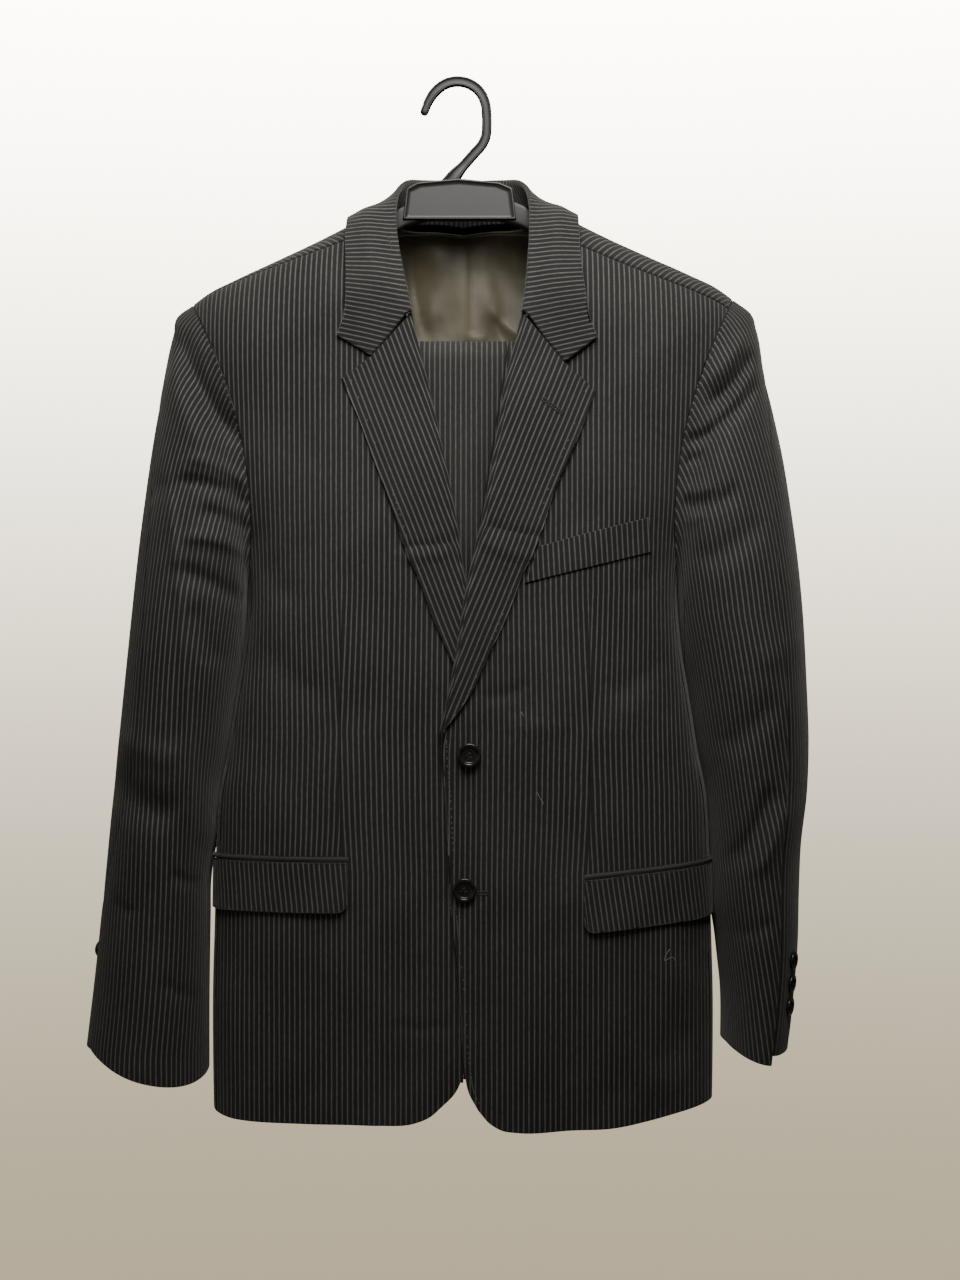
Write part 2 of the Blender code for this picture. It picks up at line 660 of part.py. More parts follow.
def front_plane(side):
    """The layout of a front: rows from the hem to the shoulder, columns from the front edge to the side."""
    rows = SIDE_ROWS + ARMHOLE_ROWS + 1
    edge = smooth_line(FRONT_EDGE[side], 200)
    edge = as_plane(edge[:, 0], edge[:, 1], 1)
    gorge = collar_line(side, "seam", np.linspace(7.4, NECK_POINT, 20))
    inner = resample(np.concatenate([edge, gorge]), rows)
    outer = outer_edge(side, 1, FRONT_ANGLES)
    hem = smooth_line(HEM[side], 200)
    hem = hem[np.abs(hem[:, 0]) < abs(outer[0, 0]) - 0.002]
    hem = np.concatenate([as_plane(hem[:, 0], hem[:, 1], 1), outer[:1]])
    bottom = resample(hem, FRONT_COLUMNS + 1)
    bottom[0] = inner[0]
    return patch(bottom, shoulder_seam(side, FRONT_COLUMNS + 1), inner, outer)


def make_front(side, look):
    plane = front_plane(side)
    points = front_form(side, plane[..., 0], plane[..., 1])
    roll_room = ROLL_ROOM * (1 + smooth((points[:, :1, 2] - GORGE_LOW) / 0.05))
    points = drawn_in(points, (0.0, SEAM_GAP / 2, roll_room, SEAM_GAP / 2))
    points[SIDE_ROWS:, -1] += drawn_armhole(points)
    normal = normal_of(functools.partial(front_form, side), plane[..., 0], plane[..., 1], -1)
    return panel(f"front_{FACING[side]}", points, normal, look, turned=side < 0)


def drawn_armhole(points):
    """The further step that clears the sleeve along a panel's armhole."""
    run = points[SIDE_ROWS:, -2] - points[SIDE_ROWS:, -1]
    return (ARMHOLE_GAP / 2) * run / np.linalg.norm(run, axis=-1, keepdims=True)


def make_back(side, look):
    """Half of the back, from the centre seam to the side, over the ridge to the shoulder seam in front."""
    columns = 2 * BACK_HALF_COLUMNS + 1
    neck = collar_line(side, "seam", np.linspace(0, NECK_POINT, 40))
    shoulder = shoulder_seam(side, BACK_HALF_COLUMNS + 1)
    top = np.concatenate([resample(neck, BACK_HALF_COLUMNS + 1)[:-1], shoulder])
    outer = outer_edge(side, -1, BACK_ANGLES)
    hem_over = float(over_of(0.0, HEM_BACK[side], -1))
    inner = np.linspace((0.0, hem_over), top[0], len(outer))
    bottom = np.stack([np.linspace(0.0, outer[0, 0], columns), np.full(columns, 0.0)], axis=1)
    bottom[:, 1] = over_of(bottom[:, 0], HEM_BACK[side], -1)
    plane = patch(bottom, top, inner, outer)
    neck_gap = np.where(np.arange(columns) <= BACK_HALF_COLUMNS, NECK_GAP, SEAM_GAP / 2)[:, None]
    points = drawn_in(body(plane[..., 0], plane[..., 1]), (0.0, neck_gap, SEAM_GAP / 2, SEAM_GAP / 2))
    points[SIDE_ROWS:, -1] += drawn_armhole(points)
    normal = normal_of(body, plane[..., 0], plane[..., 1], -1)
    return panel(f"back_{FACING[side]}", points, normal, look, turned=side > 0)


def make_side(side, look):
    front, z = side_seam(side, 1)
    back, z_back = side_seam(side, -1)
    hole_x, hole_z, _ = armhole(side, UNDER_ANGLES)
    part = girth_of(hole_x, hole_z)
    top = np.stack([np.where(UNDER_ANGLES > 180, 2 - part, part), hole_z], axis=-1)
    bottom = np.linspace((front[0], z[0]), (2 - back[0], z_back[0]), SIDE_COLUMNS + 1)
    left, right = np.stack([front, z], axis=-1), np.stack([2 - back, z_back], axis=-1)
    plane = patch(bottom, top, left, right)
    points = side_form(side, plane[..., 0], plane[..., 1])
    points = drawn_in(points, (0.0, ARMHOLE_GAP / 2, SEAM_GAP / 2, SEAM_GAP / 2))
    normal = normal_of(functools.partial(side_form, side), plane[..., 0], plane[..., 1], side)
    return panel(f"side_{FACING[side]}", points, normal, look, turned=side < 0)


# ---- the sleeves ---------------------------------------------------------------------------------------------
SLEEVE_ROWS = 18
LOOP = np.concatenate([BACK_ANGLES[:-1], FRONT_ANGLES[::-1][:-1], UNDER_ANGLES[:-1]])
HIND_COLUMN, INSIDE_COLUMN = 4, 15   # where the sleeve's two seams start on the armhole's loop


def sleeve_plane(side, first, last):
    """Angles and lengths of a sleeve piece between two columns of the loop, which turn with its seams."""
    w = np.linspace(0, 1, SLEEVE_ROWS + 1)[:, None] ** 1.15
    at = np.arange(first, last + 1)
    start = LOOP[at % len(LOOP)] + np.where(at >= len(LOOP), 360.0, 0.0)
    upper = first == HIND_COLUMN
    rows = SLEEVE[side]
    hind, inside = column(rows, "hind", w, "w"), column(rows, "inside", w, "w")
    ends = (hind, inside) if upper else (inside, hind + 360)
    share = (start - start[0]) / (start[-1] - start[0])
    angle = ends[0] + (ends[1] - ends[0]) * share[None, :]
    angle = np.where(w == 0, start[None, :], angle)
    return angle, w + 0 * angle


def sleeve_normal(side, angle, w):
    """A sleeve's outward unit normal, from steps that stay within its length."""
    ahead, behind = np.minimum(w + 0.01, 1.0), np.maximum(w - 0.01, 0.0)
    across = sleeve(side, angle + 1.5, w) - sleeve(side, angle - 1.5, w)
    along = sleeve(side, angle, ahead) - sleeve(side, angle, behind)
    normal = np.cross(across, along) * side
    return normal / np.linalg.norm(normal, axis=-1, keepdims=True)


def make_sleeve(side, look):
    spans = {"upper": (HIND_COLUMN, INSIDE_COLUMN), "under": (INSIDE_COLUMN, HIND_COLUMN + len(LOOP))}
    for name, (first, last) in spans.items():
        angle, w = sleeve_plane(side, first, last)
        points = drawn_in(sleeve(side, angle, w), (ARMHOLE_GAP / 2, 0.0, SLEEVE_GAP / 2, SLEEVE_GAP / 2))
        normal = sleeve_normal(side, angle, w)
        panel(f"{name}_sleeve_{FACING[side]}", points, normal, look, turned=side < 0)


# ---- lapels and collar ---------------------------------------------------------------------------------------
LAPEL_COLUMNS, LAPEL_ROWS = 5, 16


def lapel_plane(side):
    """The layout of a lapel: rows from the break to the gorge, columns from the roll to the outer edge."""
    edge = smooth_line(FRONT_EDGE[side], 400)
    start = np.array([LAPEL_EDGE[side]["x"][0], LAPEL_EDGE[side]["z"][0]])
    roll = resample(edge[edge[:, 1] > start[1]], LAPEL_ROWS + 1)
    outer = smooth_line(LAPEL_EDGE[side], LAPEL_ROWS + 1)
    gorge_end, corner = roll[-1], outer[-1]
    top = resample(np.array([gorge_end, NOTCH[side], corner]), LAPEL_COLUMNS + 1)
    top[3] = NOTCH[side]
    bottom = np.linspace(roll[0], outer[0], LAPEL_COLUMNS + 1)
    return patch(bottom, top, roll, outer)


def make_lapel(side, look):
    plane = lapel_plane(side)
    x, over = plane[..., 0], over_of(plane[..., 0], plane[..., 1], 1)
    lift = LAPEL_LIFT[side] + WALL
    points = moved_out(functools.partial(front_form, side), x, over, lift)
    points = drawn_in(points, (0.0, SEAM_GAP, 0.0, 0.0))
    roll = points[:, :1] + np.array([-side * 0.0012, lift * 0.75, 0.0])
    points = np.concatenate([roll, points], axis=1)
    return sheet(f"lapel_{FACING[side]}", points, look, turned=side < 0)


COLLAR_STEPS = 11
STAND_PARTS, LEAF_PARTS = (0.0, 0.5, 0.93), (0.06, 0.34, 0.67, 1.0)
LEAF_EASE = 0.0033        # the leaf rolls this far clear of the panels
STAND_START = 0.0052   # the stand starts this far up from the panels' edges


def collar_half(side):
    """Half of the collar: a row for each station, a column for each point from the seam over the fold to the edge."""
    stations = np.linspace(0, 8, COLLAR_STEPS + 1)
    form = functools.partial(front_form, side)
    seam_at = collar_line(side, "seam", stations)
    leaf_at = collar_line(side, "leaf", stations)
    seam = form(seam_at[:, 0], seam_at[:, 1])
    leaf = moved_out(form, leaf_at[:, 0], leaf_at[:, 1], CLOTH_LIFT + WALL)
    fold = np.stack([column(COLLAR, name, stations, "at") for name in ("fold_x", "fold_y", "fold_z")], axis=1)
    fold[:, 0] = side * (fold[:, 0] + end_shift(side, stations))
    rise = fold - seam
    seam = seam + STAND_START * rise / np.linalg.norm(rise, axis=1, keepdims=True)
    lines = [seam + (fold - seam) * part for part in STAND_PARTS]
    lines.append(fold + np.array([0, 0, 0.0012]))
    notch = np.array([NOTCH[side][0], float(over_of(np.array(NOTCH[side][0]), NOTCH[side][1], 1))])
    dip = notch - (seam_at[-1] + (leaf_at[-1] - seam_at[-1]) * LEAF_PARTS[2])
    near_end = np.clip((stations - 6) / 2, 0, 1)[:, None] ** 2
    for part, weight in zip(LEAF_PARTS, (0.06, 0.5, 1.0, 0.0)):
        plane = seam_at + (leaf_at - seam_at) * part + weight * near_end * dip
        resting = moved_out(form, plane[:, 0], plane[:, 1], CLOTH_LIFT + WALL + LEAF_EASE)
        share = smooth(part / 0.36)
        lines.append((fold + (leaf - fold) * part) * (1 - share) + resting * share)
    return np.stack(lines, axis=1)


def make_collar(look):
    points = np.concatenate([collar_half(RIGHT)[::-1], collar_half(LEFT)[1:]])
    return sheet("collar", drawn_in(points, (4 * SEAM_GAP, 4 * SEAM_GAP, 0.0, 0.0)), look)


# ---- pockets -------------------------------------------------------------------------------------------------
def on_side(side, part, z, lift):
    """The body's front or side by girth part, moved out."""
    step = 0.001
    across = around(side, part + step, z) - around(side, part - step, z)
    up = around(side, part, z + step) - around(side, part, z - step)
    normal = np.cross(across, up) * side
    normal /= np.linalg.norm(normal, axis=-1, keepdims=True)
    return folded(around(side, part, z) + lift * normal)


def pocket_grid(side, top, low, round_low, columns, rows):
    """A strip on a front below the pocket's line, from its front end round to the side."""
    pocket = POCKET[side]
    first = float(girth_of(pocket["x"], pocket["z"]))
    share = 1 - (1 - np.linspace(0, 1, columns + 1)[None, :]) ** 1.7
    part = first + (pocket["reach"] - first) * share
    z_top = pocket["z"] + pocket["rise"] * share + top
    z_low = pocket["z"] + pocket["rise"] * share + low
    rounded = round_low * (1 - np.sqrt(1 - np.clip(1 - share / 0.08, 0, 1) ** 2))
    v = np.linspace(0, 1, rows + 1)[:, None]
    z = z_low + rounded + (z_top - z_low - rounded) * v
    return on_side(side, part + 0 * z, z, CLOTH_LIFT + POCKET_PIECE_T)


def make_pocket(side, look):
    pocket = POCKET[side]
    flap = pocket_grid(side, 0.0, -pocket["height"], 0.010, POCKET_COLUMNS, 3)
    sheet(f"pocket_flap_{FACING[side]}", flap, look, POCKET_PIECE_T, turned=side < 0)
    jetting = pocket_grid(side, SEAM_GAP + pocket["jetting"], SEAM_GAP, 0.0, POCKET_COLUMNS, 1)
    sheet(f"pocket_jetting_{FACING[side]}", jetting, look, POCKET_PIECE_T, turned=side < 0)


def make_welt(look):
    low_in, low_out, top_out, top_in = np.stack([WELT["x"], WELT["z"]], axis=1)
    u = np.linspace(0, 1, 7)[None, :, None]
    v = np.linspace(0, 1, 3)[:, None, None]
    plane = (1 - v) * (low_in + (low_out - low_in) * u) + v * (top_in + (top_out - top_in) * u)
    over = over_of(plane[..., 0], plane[..., 1], 1)
    points = moved_out(functools.partial(front_form, LEFT), plane[..., 0], over, CLOTH_LIFT + WELT_T)
    return sheet("breast_pocket_welt", points, look, WELT_T)


# ---- buttons -------------------------------------------------------------------------------------------------
def make_button(name, centre, facing, diameter, thick, look):
    """A turned button with a rim and a dished face, its back at the centre given."""
    r = diameter / 2
    profile = [(0.0, 0.0), (0.80 * r, 0.0), (r, 0.35 * thick), (r, 0.8 * thick), (0.9 * r, thick),
               (0.74 * r, 0.95 * thick), (0.62 * r, 0.62 * thick), (0.0, 0.62 * thick)]
    mesh = bpy.data.meshes.new(name)
    mesh.from_pydata([(x, 0.0, z) for x, z in profile], [(i, i + 1) for i in range(len(profile) - 1)], [])
    made = add(name, mesh, look)
    turn = made.modifiers.new("turned", "SCREW")
    turn.steps = turn.render_steps = 14
    turn.use_merge_vertices = True
    turn.merge_threshold = 0.00001
    turn.use_normal_flip = True
    axis = np.array(facing, float) / np.linalg.norm(facing)
    made.location = centre
    made.rotation_euler = (math.acos(axis[2]), 0.0, math.atan2(axis[0], -axis[1]))
    return made


def make_buttons(look):
    for number, (x, z) in enumerate(zip(BUTTONS["x"], BUTTONS["z"]), 1):
        over = over_of(np.array(x), np.array(z), 1)
        at = front_form(LEFT, np.array(x), over) + np.array([0, -SEAM_GAP - 0.0003, 0])
        make_button(f"front_button_{number}", at, (0, -1, 0), BUTTON_D, BUTTON_T, look)
    for side in (LEFT, RIGHT):
        for number in range(CUFF_BUTTONS):
            at, facing = cuff_button_seat(side, CUFF_BUTTON_TOP - number * CUFF_BUTTON_PITCH)
            name = f"cuff_button_{FACING[side]}_{number + 1}"
            make_button(name, at, facing, CUFF_BUTTON_D, CUFF_BUTTON_T, look)


def cuff_button_seat(side, height):
    """Where a cuff button lies, just behind the hind seam, and the way it faces."""
    w = np.linspace(0.8, 1.0, 200)
    angle = column(SLEEVE[side], "hind", w, "w") + CUFF_BUTTON_TURN[side]
    line = sleeve(side, angle, w)
    i = int(np.argmin(np.abs(line[:, 2] - height)))
    at, turn = np.array(w[i]), np.array(angle[i])
    round_it = sleeve(side, turn + 4, at) - sleeve(side, turn - 4, at)
    along = sleeve(side, turn, at + 0.01) - sleeve(side, turn, at - 0.01)
    normal = np.cross(round_it, along)
    normal *= np.sign(normal[0] * side) or 1.0
    normal /= np.linalg.norm(normal)
    return line[i] + normal * CUFF_SEAT[side], normal


# ---- lining, trousers and hanger -----------------------------------------------------------------------------
def make_lining(look):
    """The back lining, where it shows behind the open neck."""
    x = np.linspace(-LINING["half"], LINING["half"], 11)[None, :]
    top = np.minimum(LINING["top"], ridge(x) - LINING["under_ridge"])
    v = np.linspace(0, 1, 8)[:, None]
    z = LINING["low"] + (top - LINING["low"]) * v
    x = x + 0 * z
    points = moved_out(body, x, over_of(x, z, -1), -(WALL + LINING["gap"]))
    return sheet("back_lining", points, look, LINING["thick"], turned=True)


def leg_path(radius, count):
    """The legs' path in y and z: down the front, round over the bar and down behind, with the part of its length."""
    turn = np.linspace(-math.pi / 2, math.pi / 2, 9)
    bend = np.stack([radius * np.sin(turn), FOLD_Z + radius * np.cos(turn)], axis=1)
    front = np.stack([np.full(count, -radius), np.linspace(FOLD_Z - FRONT_DROP, FOLD_Z, count + 1)[:-1]], axis=1)
    back = np.stack([np.full(count, radius), np.linspace(FOLD_Z, FOLD_Z - BACK_DROP, count + 1)[1:]], axis=1)
    path = np.concatenate([front, bend, back])
    run = np.concatenate([[0.0], np.cumsum(np.linalg.norm(np.diff(path, axis=0), axis=1))])
    return path, run / run[-1]


def make_leg(name, radius, look):
    path, run = leg_path(radius, 6)
    half = curve(TROUSERS["s"], TROUSERS["half"], run)
    across = np.linspace(-1, 1, 5)[None, :]
    x = TROUSERS_X + half[:, None] * across
    points = np.stack([x, path[:, :1] + 0 * x, path[:, 1:] + 0 * x], axis=-1)
    return sheet(name, points, look, LEG_T, turned=False)


def make_waistband(look):
    """The folded waistband below the legs' back ends."""
    top = FOLD_Z - BACK_DROP - SEAM_GAP
    mid = FOLD_R + LEG_T + SEAM_GAP / 2
    made = box("trouser_waistband", (WAISTBAND["half"] * 2, WAISTBAND["thick"], WAISTBAND["height"]), look)
    made.location = (TROUSERS_X, mid, top - WAISTBAND["height"] / 2)
    edge = made.modifiers.new("rounded", "BEVEL")
    edge.width, edge.segments = 0.003, 2
    return made


def box(name, size, look):
    mesh = bpy.data.meshes.new(name)
    shape = bmesh.new()
    bmesh.ops.create_cube(shape, size=1.0)
    bmesh.ops.scale(shape, vec=size, verts=shape.verts)
    shape.to_mesh(mesh)
    shape.free()
    return add(name, mesh, look)


def hanger_outline():
    """The hanger's outer outline in x and z: plate, arms under the shoulders, tips, posts and bar."""
    reach = np.linspace(0.086, ARM_REACH, 9)
    right = [(x, float(ridge(x)) - ARM_DROP) for x in reach]
    left = [(-x, float(ridge(-x)) - ARM_DROP) for x in reach[::-1]]
    tip = [(ARM_REACH + 0.004, right[-1][1] - 0.006), (ARM_REACH - 0.002, right[-1][1] - ARM_TIP_DROP)]
    tip_left = [(-x, z - 2 * TILT * ARM_REACH) for x, z in tip[::-1]]
    low = BAR_TOP - BAR_H
    crown = [(PLATE["left"], PLATE["corner"]), (-0.040, PLATE["top"] - 0.0035), (-0.004, PLATE["top"]),
             (0.032, PLATE["top"] - 0.0035), (PLATE["right"], PLATE["corner"]), (0.058, -0.1090)]
    post = [(POST_X + POST_W / 2, right[-1][1] - 0.020), (POST_X + POST_W / 2, low)]
    post_left = [(-x, z) for x, z in post[::-1]]
    return [*crown, *right, *tip, *post, *post_left, *tip_left, *left, (-0.060, -0.1110)]


def hanger_hole():
    """The open triangle above the bar, under the plate and arms."""
    x = POST_X - POST_W / 2
    under = [(side * r, float(ridge(side * r)) - 0.030) for side, r in ((1, x), (1, 0.10))]
    under_left = [(-0.10, float(ridge(-0.10)) - 0.030), (-x, float(ridge(-x)) - 0.030)]
    return [(x, BAR_TOP), under[0], under[1], (PLATE["right"], PLATE["low"]), (PLATE["left"], PLATE["low"]),
            *under_left, (-x, BAR_TOP)]


def hook_path():
    """The hook's centre line in x and z: up from the plate, round over the pin and down to the tip."""
    r, cx = 0.0165 + ROD_R, -0.0040
    cz = ROD_R - r - 0.0003
    start = [(-0.0150, -0.0850), (-0.0120, -0.0780), (0.0000, -0.0660), (0.0110, -0.0550), (0.0165, -0.0470),
             (0.0185, -0.0380)]
    turn = np.radians(np.linspace(-20, 195, 14))
    arc = [(cx + r * 1.13 * math.cos(a), cz + r * math.sin(a)) for a in turn]
    return [*start, *arc]


def poly_curve(name, splines, **settings):
    data = bpy.data.curves.new(name, "CURVE")
    for key, value in settings.items():
        setattr(data, key, value)
    for points, closed in splines:
        spline = data.splines.new("POLY")
        spline.points.add(len(points) - 1)
        for point, (x, y, z) in zip(spline.points, points):
            point.co = (x, y, z, 1.0)
        spline.use_cyclic_u = closed
    return data


def meshed(name, data):
    """A curve made a welded mesh."""
    holder = bpy.data.objects.new(name, data)
    bpy.context.scene.collection.objects.link(holder)
    graph = bpy.context.evaluated_depsgraph_get()
    mesh = bpy.data.meshes.new_from_object(holder.evaluated_get(graph))
    shape = bmesh.new()
    shape.from_mesh(mesh)
    bmesh.ops.remove_doubles(shape, verts=shape.verts, dist=0.00001)
    bmesh.ops.recalc_face_normals(shape, faces=shape.faces)
    shape.to_mesh(mesh)
    shape.free()
    bpy.data.objects.remove(holder)
    return mesh


def make_hanger(look, cutters):
    """Plate, arms, posts and bar as one flat moulding, with the hook moulded on."""
    flat = [([(x, z, 0.0) for x, z in hanger_outline()], True), ([(x, z, 0.0) for x, z in hanger_hole()], True)]
    data = poly_curve("outline", flat, dimensions="2D", fill_mode="BOTH", extrude=HANGER_T / 2)
    made = add("hanger", meshed("hanger", data), look)
    made.rotation_euler = (math.pi / 2, 0.0, 0.0)
    rod = [([(x, 0.0, z) for x, z in hook_path()], False)]
    data = poly_curve("rod", rod, dimensions="3D", bevel_depth=ROD_R, bevel_resolution=2, use_fill_caps=True)
    hook = bpy.data.objects.new("hook", meshed("hook", data))
    cutters.objects.link(hook)
    hook.hide_render = True
    hook.display_type = "WIRE"
    join = made.modifiers.new("hook", "BOOLEAN")
    join.operation = "UNION"
    join.solver = "EXACT"
    join.object = hook
    return made


def main():
    for existing in list(bpy.data.objects):
        bpy.data.objects.remove(existing)
    suit = bpy.data.collections.new("business_suit")
    cutters = bpy.data.collections.new("cutters")
    for made in (suit, cutters):
        bpy.context.scene.collection.children.link(made)
    cutters.hide_render = True
    cloth = material("suiting", CHARCOAL, 0.85)
    for side in (LEFT, RIGHT):
        make_front(side, cloth)
        make_side(side, cloth)
        make_back(side, cloth)
        make_sleeve(side, cloth)
        make_lapel(side, cloth)
        make_pocket(side, cloth)
    make_collar(cloth)
    make_welt(cloth)
    make_buttons(material("button", BLACK, 0.35))
    make_lining(material("lining", OLIVE, 0.55))
    make_leg("trouser_leg_inner", FOLD_R + LEG_T, cloth)
    make_leg("trouser_leg_outer", FOLD_R + 2 * LEG_T + SEAM_GAP, cloth)
    make_waistband(cloth)
    make_hanger(material("hanger_plastic", PLASTIC, 0.4), cutters)


main()
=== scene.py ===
"""The looks of a two-button business suit on a moulded hanger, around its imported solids.

Metres, +Z up, the front faces -Y and the wearer's left is +X. Every cloth piece is a thin shell on the form of
its solid: a patch of the jacket's body or of a sleeve, with the same tables, in a finer grid, with its creases.
A cloth's UV map is its flat cut in metres: U runs across the stripes and V along them.
"""

import functools
import math

import bpy
import numpy as np
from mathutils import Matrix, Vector


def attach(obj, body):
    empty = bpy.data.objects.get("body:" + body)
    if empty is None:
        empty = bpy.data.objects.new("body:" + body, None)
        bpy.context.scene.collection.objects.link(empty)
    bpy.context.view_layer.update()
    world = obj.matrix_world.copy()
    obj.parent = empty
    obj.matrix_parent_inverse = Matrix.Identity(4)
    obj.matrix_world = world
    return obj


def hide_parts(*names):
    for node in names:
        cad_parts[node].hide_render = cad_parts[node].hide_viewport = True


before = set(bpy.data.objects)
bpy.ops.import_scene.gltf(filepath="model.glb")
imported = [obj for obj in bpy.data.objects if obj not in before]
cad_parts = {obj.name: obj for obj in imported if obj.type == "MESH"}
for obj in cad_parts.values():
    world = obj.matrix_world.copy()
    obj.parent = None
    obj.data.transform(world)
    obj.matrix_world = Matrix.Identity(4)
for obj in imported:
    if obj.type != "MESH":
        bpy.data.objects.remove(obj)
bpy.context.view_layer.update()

LEFT, RIGHT = 1, -1
FACING = {LEFT: "left", RIGHT: "right"}
X_AXIS, Y_AXIS, Z_AXIS = np.eye(3)

# ---- sizes shared with the solids ------------------------------------------------------------------------
WALL = 0.002
ROOF, SQUARE, TILT = 0.085, 3.0, 0.010
CLOTH_LIFT = 0.0006
LAPEL_LIFT = {LEFT: 0.0019, RIGHT: 0.0006}
SEAM_GAP = 0.0003


def table(names, rows):
    """Named columns from a list of rows."""
    return dict(zip(names.split(), np.array(rows, float).T))


# The jacket's body by height: half width, and depth of the front and the back from y = 0.
BODY = table("z half front back", [
    (-0.920, 0.2150, 0.060, 0.048), (-0.840, 0.2165, 0.062, 0.049), (-0.780, 0.2165, 0.064, 0.050),
    (-0.720, 0.2148, 0.066, 0.051), (-0.660, 0.2135, 0.067, 0.052), (-0.610, 0.2100, 0.068, 0.053),
    (-0.583, 0.2045, 0.069, 0.054), (-0.530, 0.1960, 0.070, 0.055), (-0.490, 0.1895, 0.071, 0.056),
    (-0.440, 0.1860, 0.072, 0.057), (-0.400, 0.1905, 0.072, 0.057), (-0.350, 0.2030, 0.072, 0.057),
    (-0.300, 0.2160, 0.071, 0.056), (-0.240, 0.2320, 0.070, 0.055), (-0.180, 0.2440, 0.069, 0.054),
    (-0.080, 0.2600, 0.068, 0.053),
])
RIDGE = table("x z", [
    (0.000, -0.0850), (0.030, -0.0900), (0.060, -0.1015), (0.075, -0.1090), (0.095, -0.1195), (0.130, -0.1370),
    (0.162, -0.1515), (0.197, -0.1672), (0.222, -0.1795), (0.235, -0.1890), (0.260, -0.2080),
])
FRONT_EDGE = {
    LEFT: table("x z", [
        (0.0134, -0.8783), (0.0053, -0.8638), (0.0016, -0.8432), (-0.0029, -0.7837), (-0.0098, -0.7167),
        (-0.0154, -0.6093), (-0.0179, -0.5776), (-0.0179, -0.5615), (-0.0114, -0.5294), (-0.0051, -0.4974),
        (0.0042, -0.4383), (0.0186, -0.3742), (0.0298, -0.3101), (0.0387, -0.2575), (0.0458, -0.2290),
        (0.0507, -0.2077),
    ]),
    RIGHT: table("x z", [
        (-0.0179, -0.8764), (-0.0058, -0.8641), (0.0010, -0.8480), (0.0080, -0.8000), (0.0150, -0.7300),
        (0.0180, -0.6400), (0.0180, -0.5776), (0.0175, -0.5615), (0.0130, -0.5150), (0.0080, -0.4760),
        (0.0025, -0.4384), (-0.0087, -0.3662), (-0.0199, -0.3102), (-0.0297, -0.2668), (-0.0391, -0.2276),
        (-0.0431, -0.2077),
    ]),
}
HEM = {
    LEFT: table("x z", [
        (0.0134, -0.8783), (0.0229, -0.8895), (0.0341, -0.8960), (0.0454, -0.8976), (0.0935, -0.8960),
        (0.1258, -0.8949), (0.1588, -0.8896), (0.1840, -0.8840), (0.2150, -0.8770),
    ]),
    RIGHT: table("x z", [
        (-0.0179, -0.8764), (-0.0283, -0.8853), (-0.0402, -0.8899), (-0.0702, -0.8917), (-0.1001, -0.8914),
        (-0.1307, -0.8912), (-0.1838, -0.8910), (-0.1977, -0.8900), (-0.2150, -0.8870),
    ]),
}
HEM_BACK = {LEFT: -0.8740, RIGHT: -0.8770}
OVERLAP = table("z left right", [
    (-0.900, 0.0018, -0.0018), (-0.620, 0.0018, -0.0018), (-0.560, 0.0040, -0.0018), (-0.500, 0.0046, -0.0018),
    (-0.420, 0.0034, -0.0018), (-0.300, 0.0012, -0.0008), (-0.200, 0.0000, 0.0000),
])
OVERLAP_WIDTH = 0.075
LAPEL_EDGE = {
    LEFT: table("x z", [
        (-0.0175, -0.5600), (-0.0051, -0.5455), (0.0078, -0.5262), (0.0206, -0.4974), (0.0378, -0.4608),
        (0.0506, -0.4271), (0.0618, -0.4031), (0.0794, -0.3533), (0.0971, -0.3132), (0.1115, -0.2723),
    ]),
    RIGHT: table("x z", [
        (0.0160, -0.5500), (0.0020, -0.5250), (-0.0110, -0.4950), (-0.0246, -0.4652), (-0.0358, -0.4350),
        (-0.0486, -0.4062), (-0.0583, -0.3757), (-0.0727, -0.3357), (-0.0871, -0.2972), (-0.1018, -0.2629),
    ]),
}
NOTCH = {LEFT: (0.0852, -0.2494), RIGHT: (-0.0763, -0.2438)}
COLLAR = table("at seam_x seam_over fold_x fold_y fold_z leaf_x leaf_over", [
    (0, 0.0000, -0.0820, 0.0000, 0.0400, -0.0775, 0.0000, -0.0930),
    (1, 0.0440, -0.0660, 0.0350, 0.0350, -0.0775, 0.0500, -0.0790),
    (2, 0.0660, -0.0400, 0.0500, 0.0200, -0.0810, 0.0800, -0.0450),
    (3, 0.0735, -0.0050, 0.0562, 0.0000, -0.0930, 0.0940, -0.0050),
    (4, 0.0740, 0.0340, 0.0580, -0.0240, -0.1130, 0.0970, 0.0500),
    (5, 0.0700, 0.0720, 0.0565, -0.0450, -0.1370, 0.0975, 0.0850),
    (6, 0.0630, 0.1040, 0.0535, -0.0610, -0.1630, 0.0990, 0.1090),
    (7, 0.0570, 0.1320, 0.0500, -0.0700, -0.1870, 0.1020, 0.1320),
    (8, 0.0510, 0.1590, 0.0465, -0.0750, -0.2085, 0.1088, 0.1495),
])
COLLAR_END, END_FROM = {LEFT: 0.0042, RIGHT: -0.0034}, 4
NECK_POINT = {LEFT: 5.0, RIGHT: 4.8}
ARMHOLE_TOP_X, ARMHOLE_LOW, ARMHOLE_BEND = 0.235, (0.1860, -0.4400), 0.0235
SHOULDER_ANGLE, SIDE_ANGLE = {LEFT: 24.0, RIGHT: 8.0}, 145.0
SIDE_SEAM_HEM = 0.90
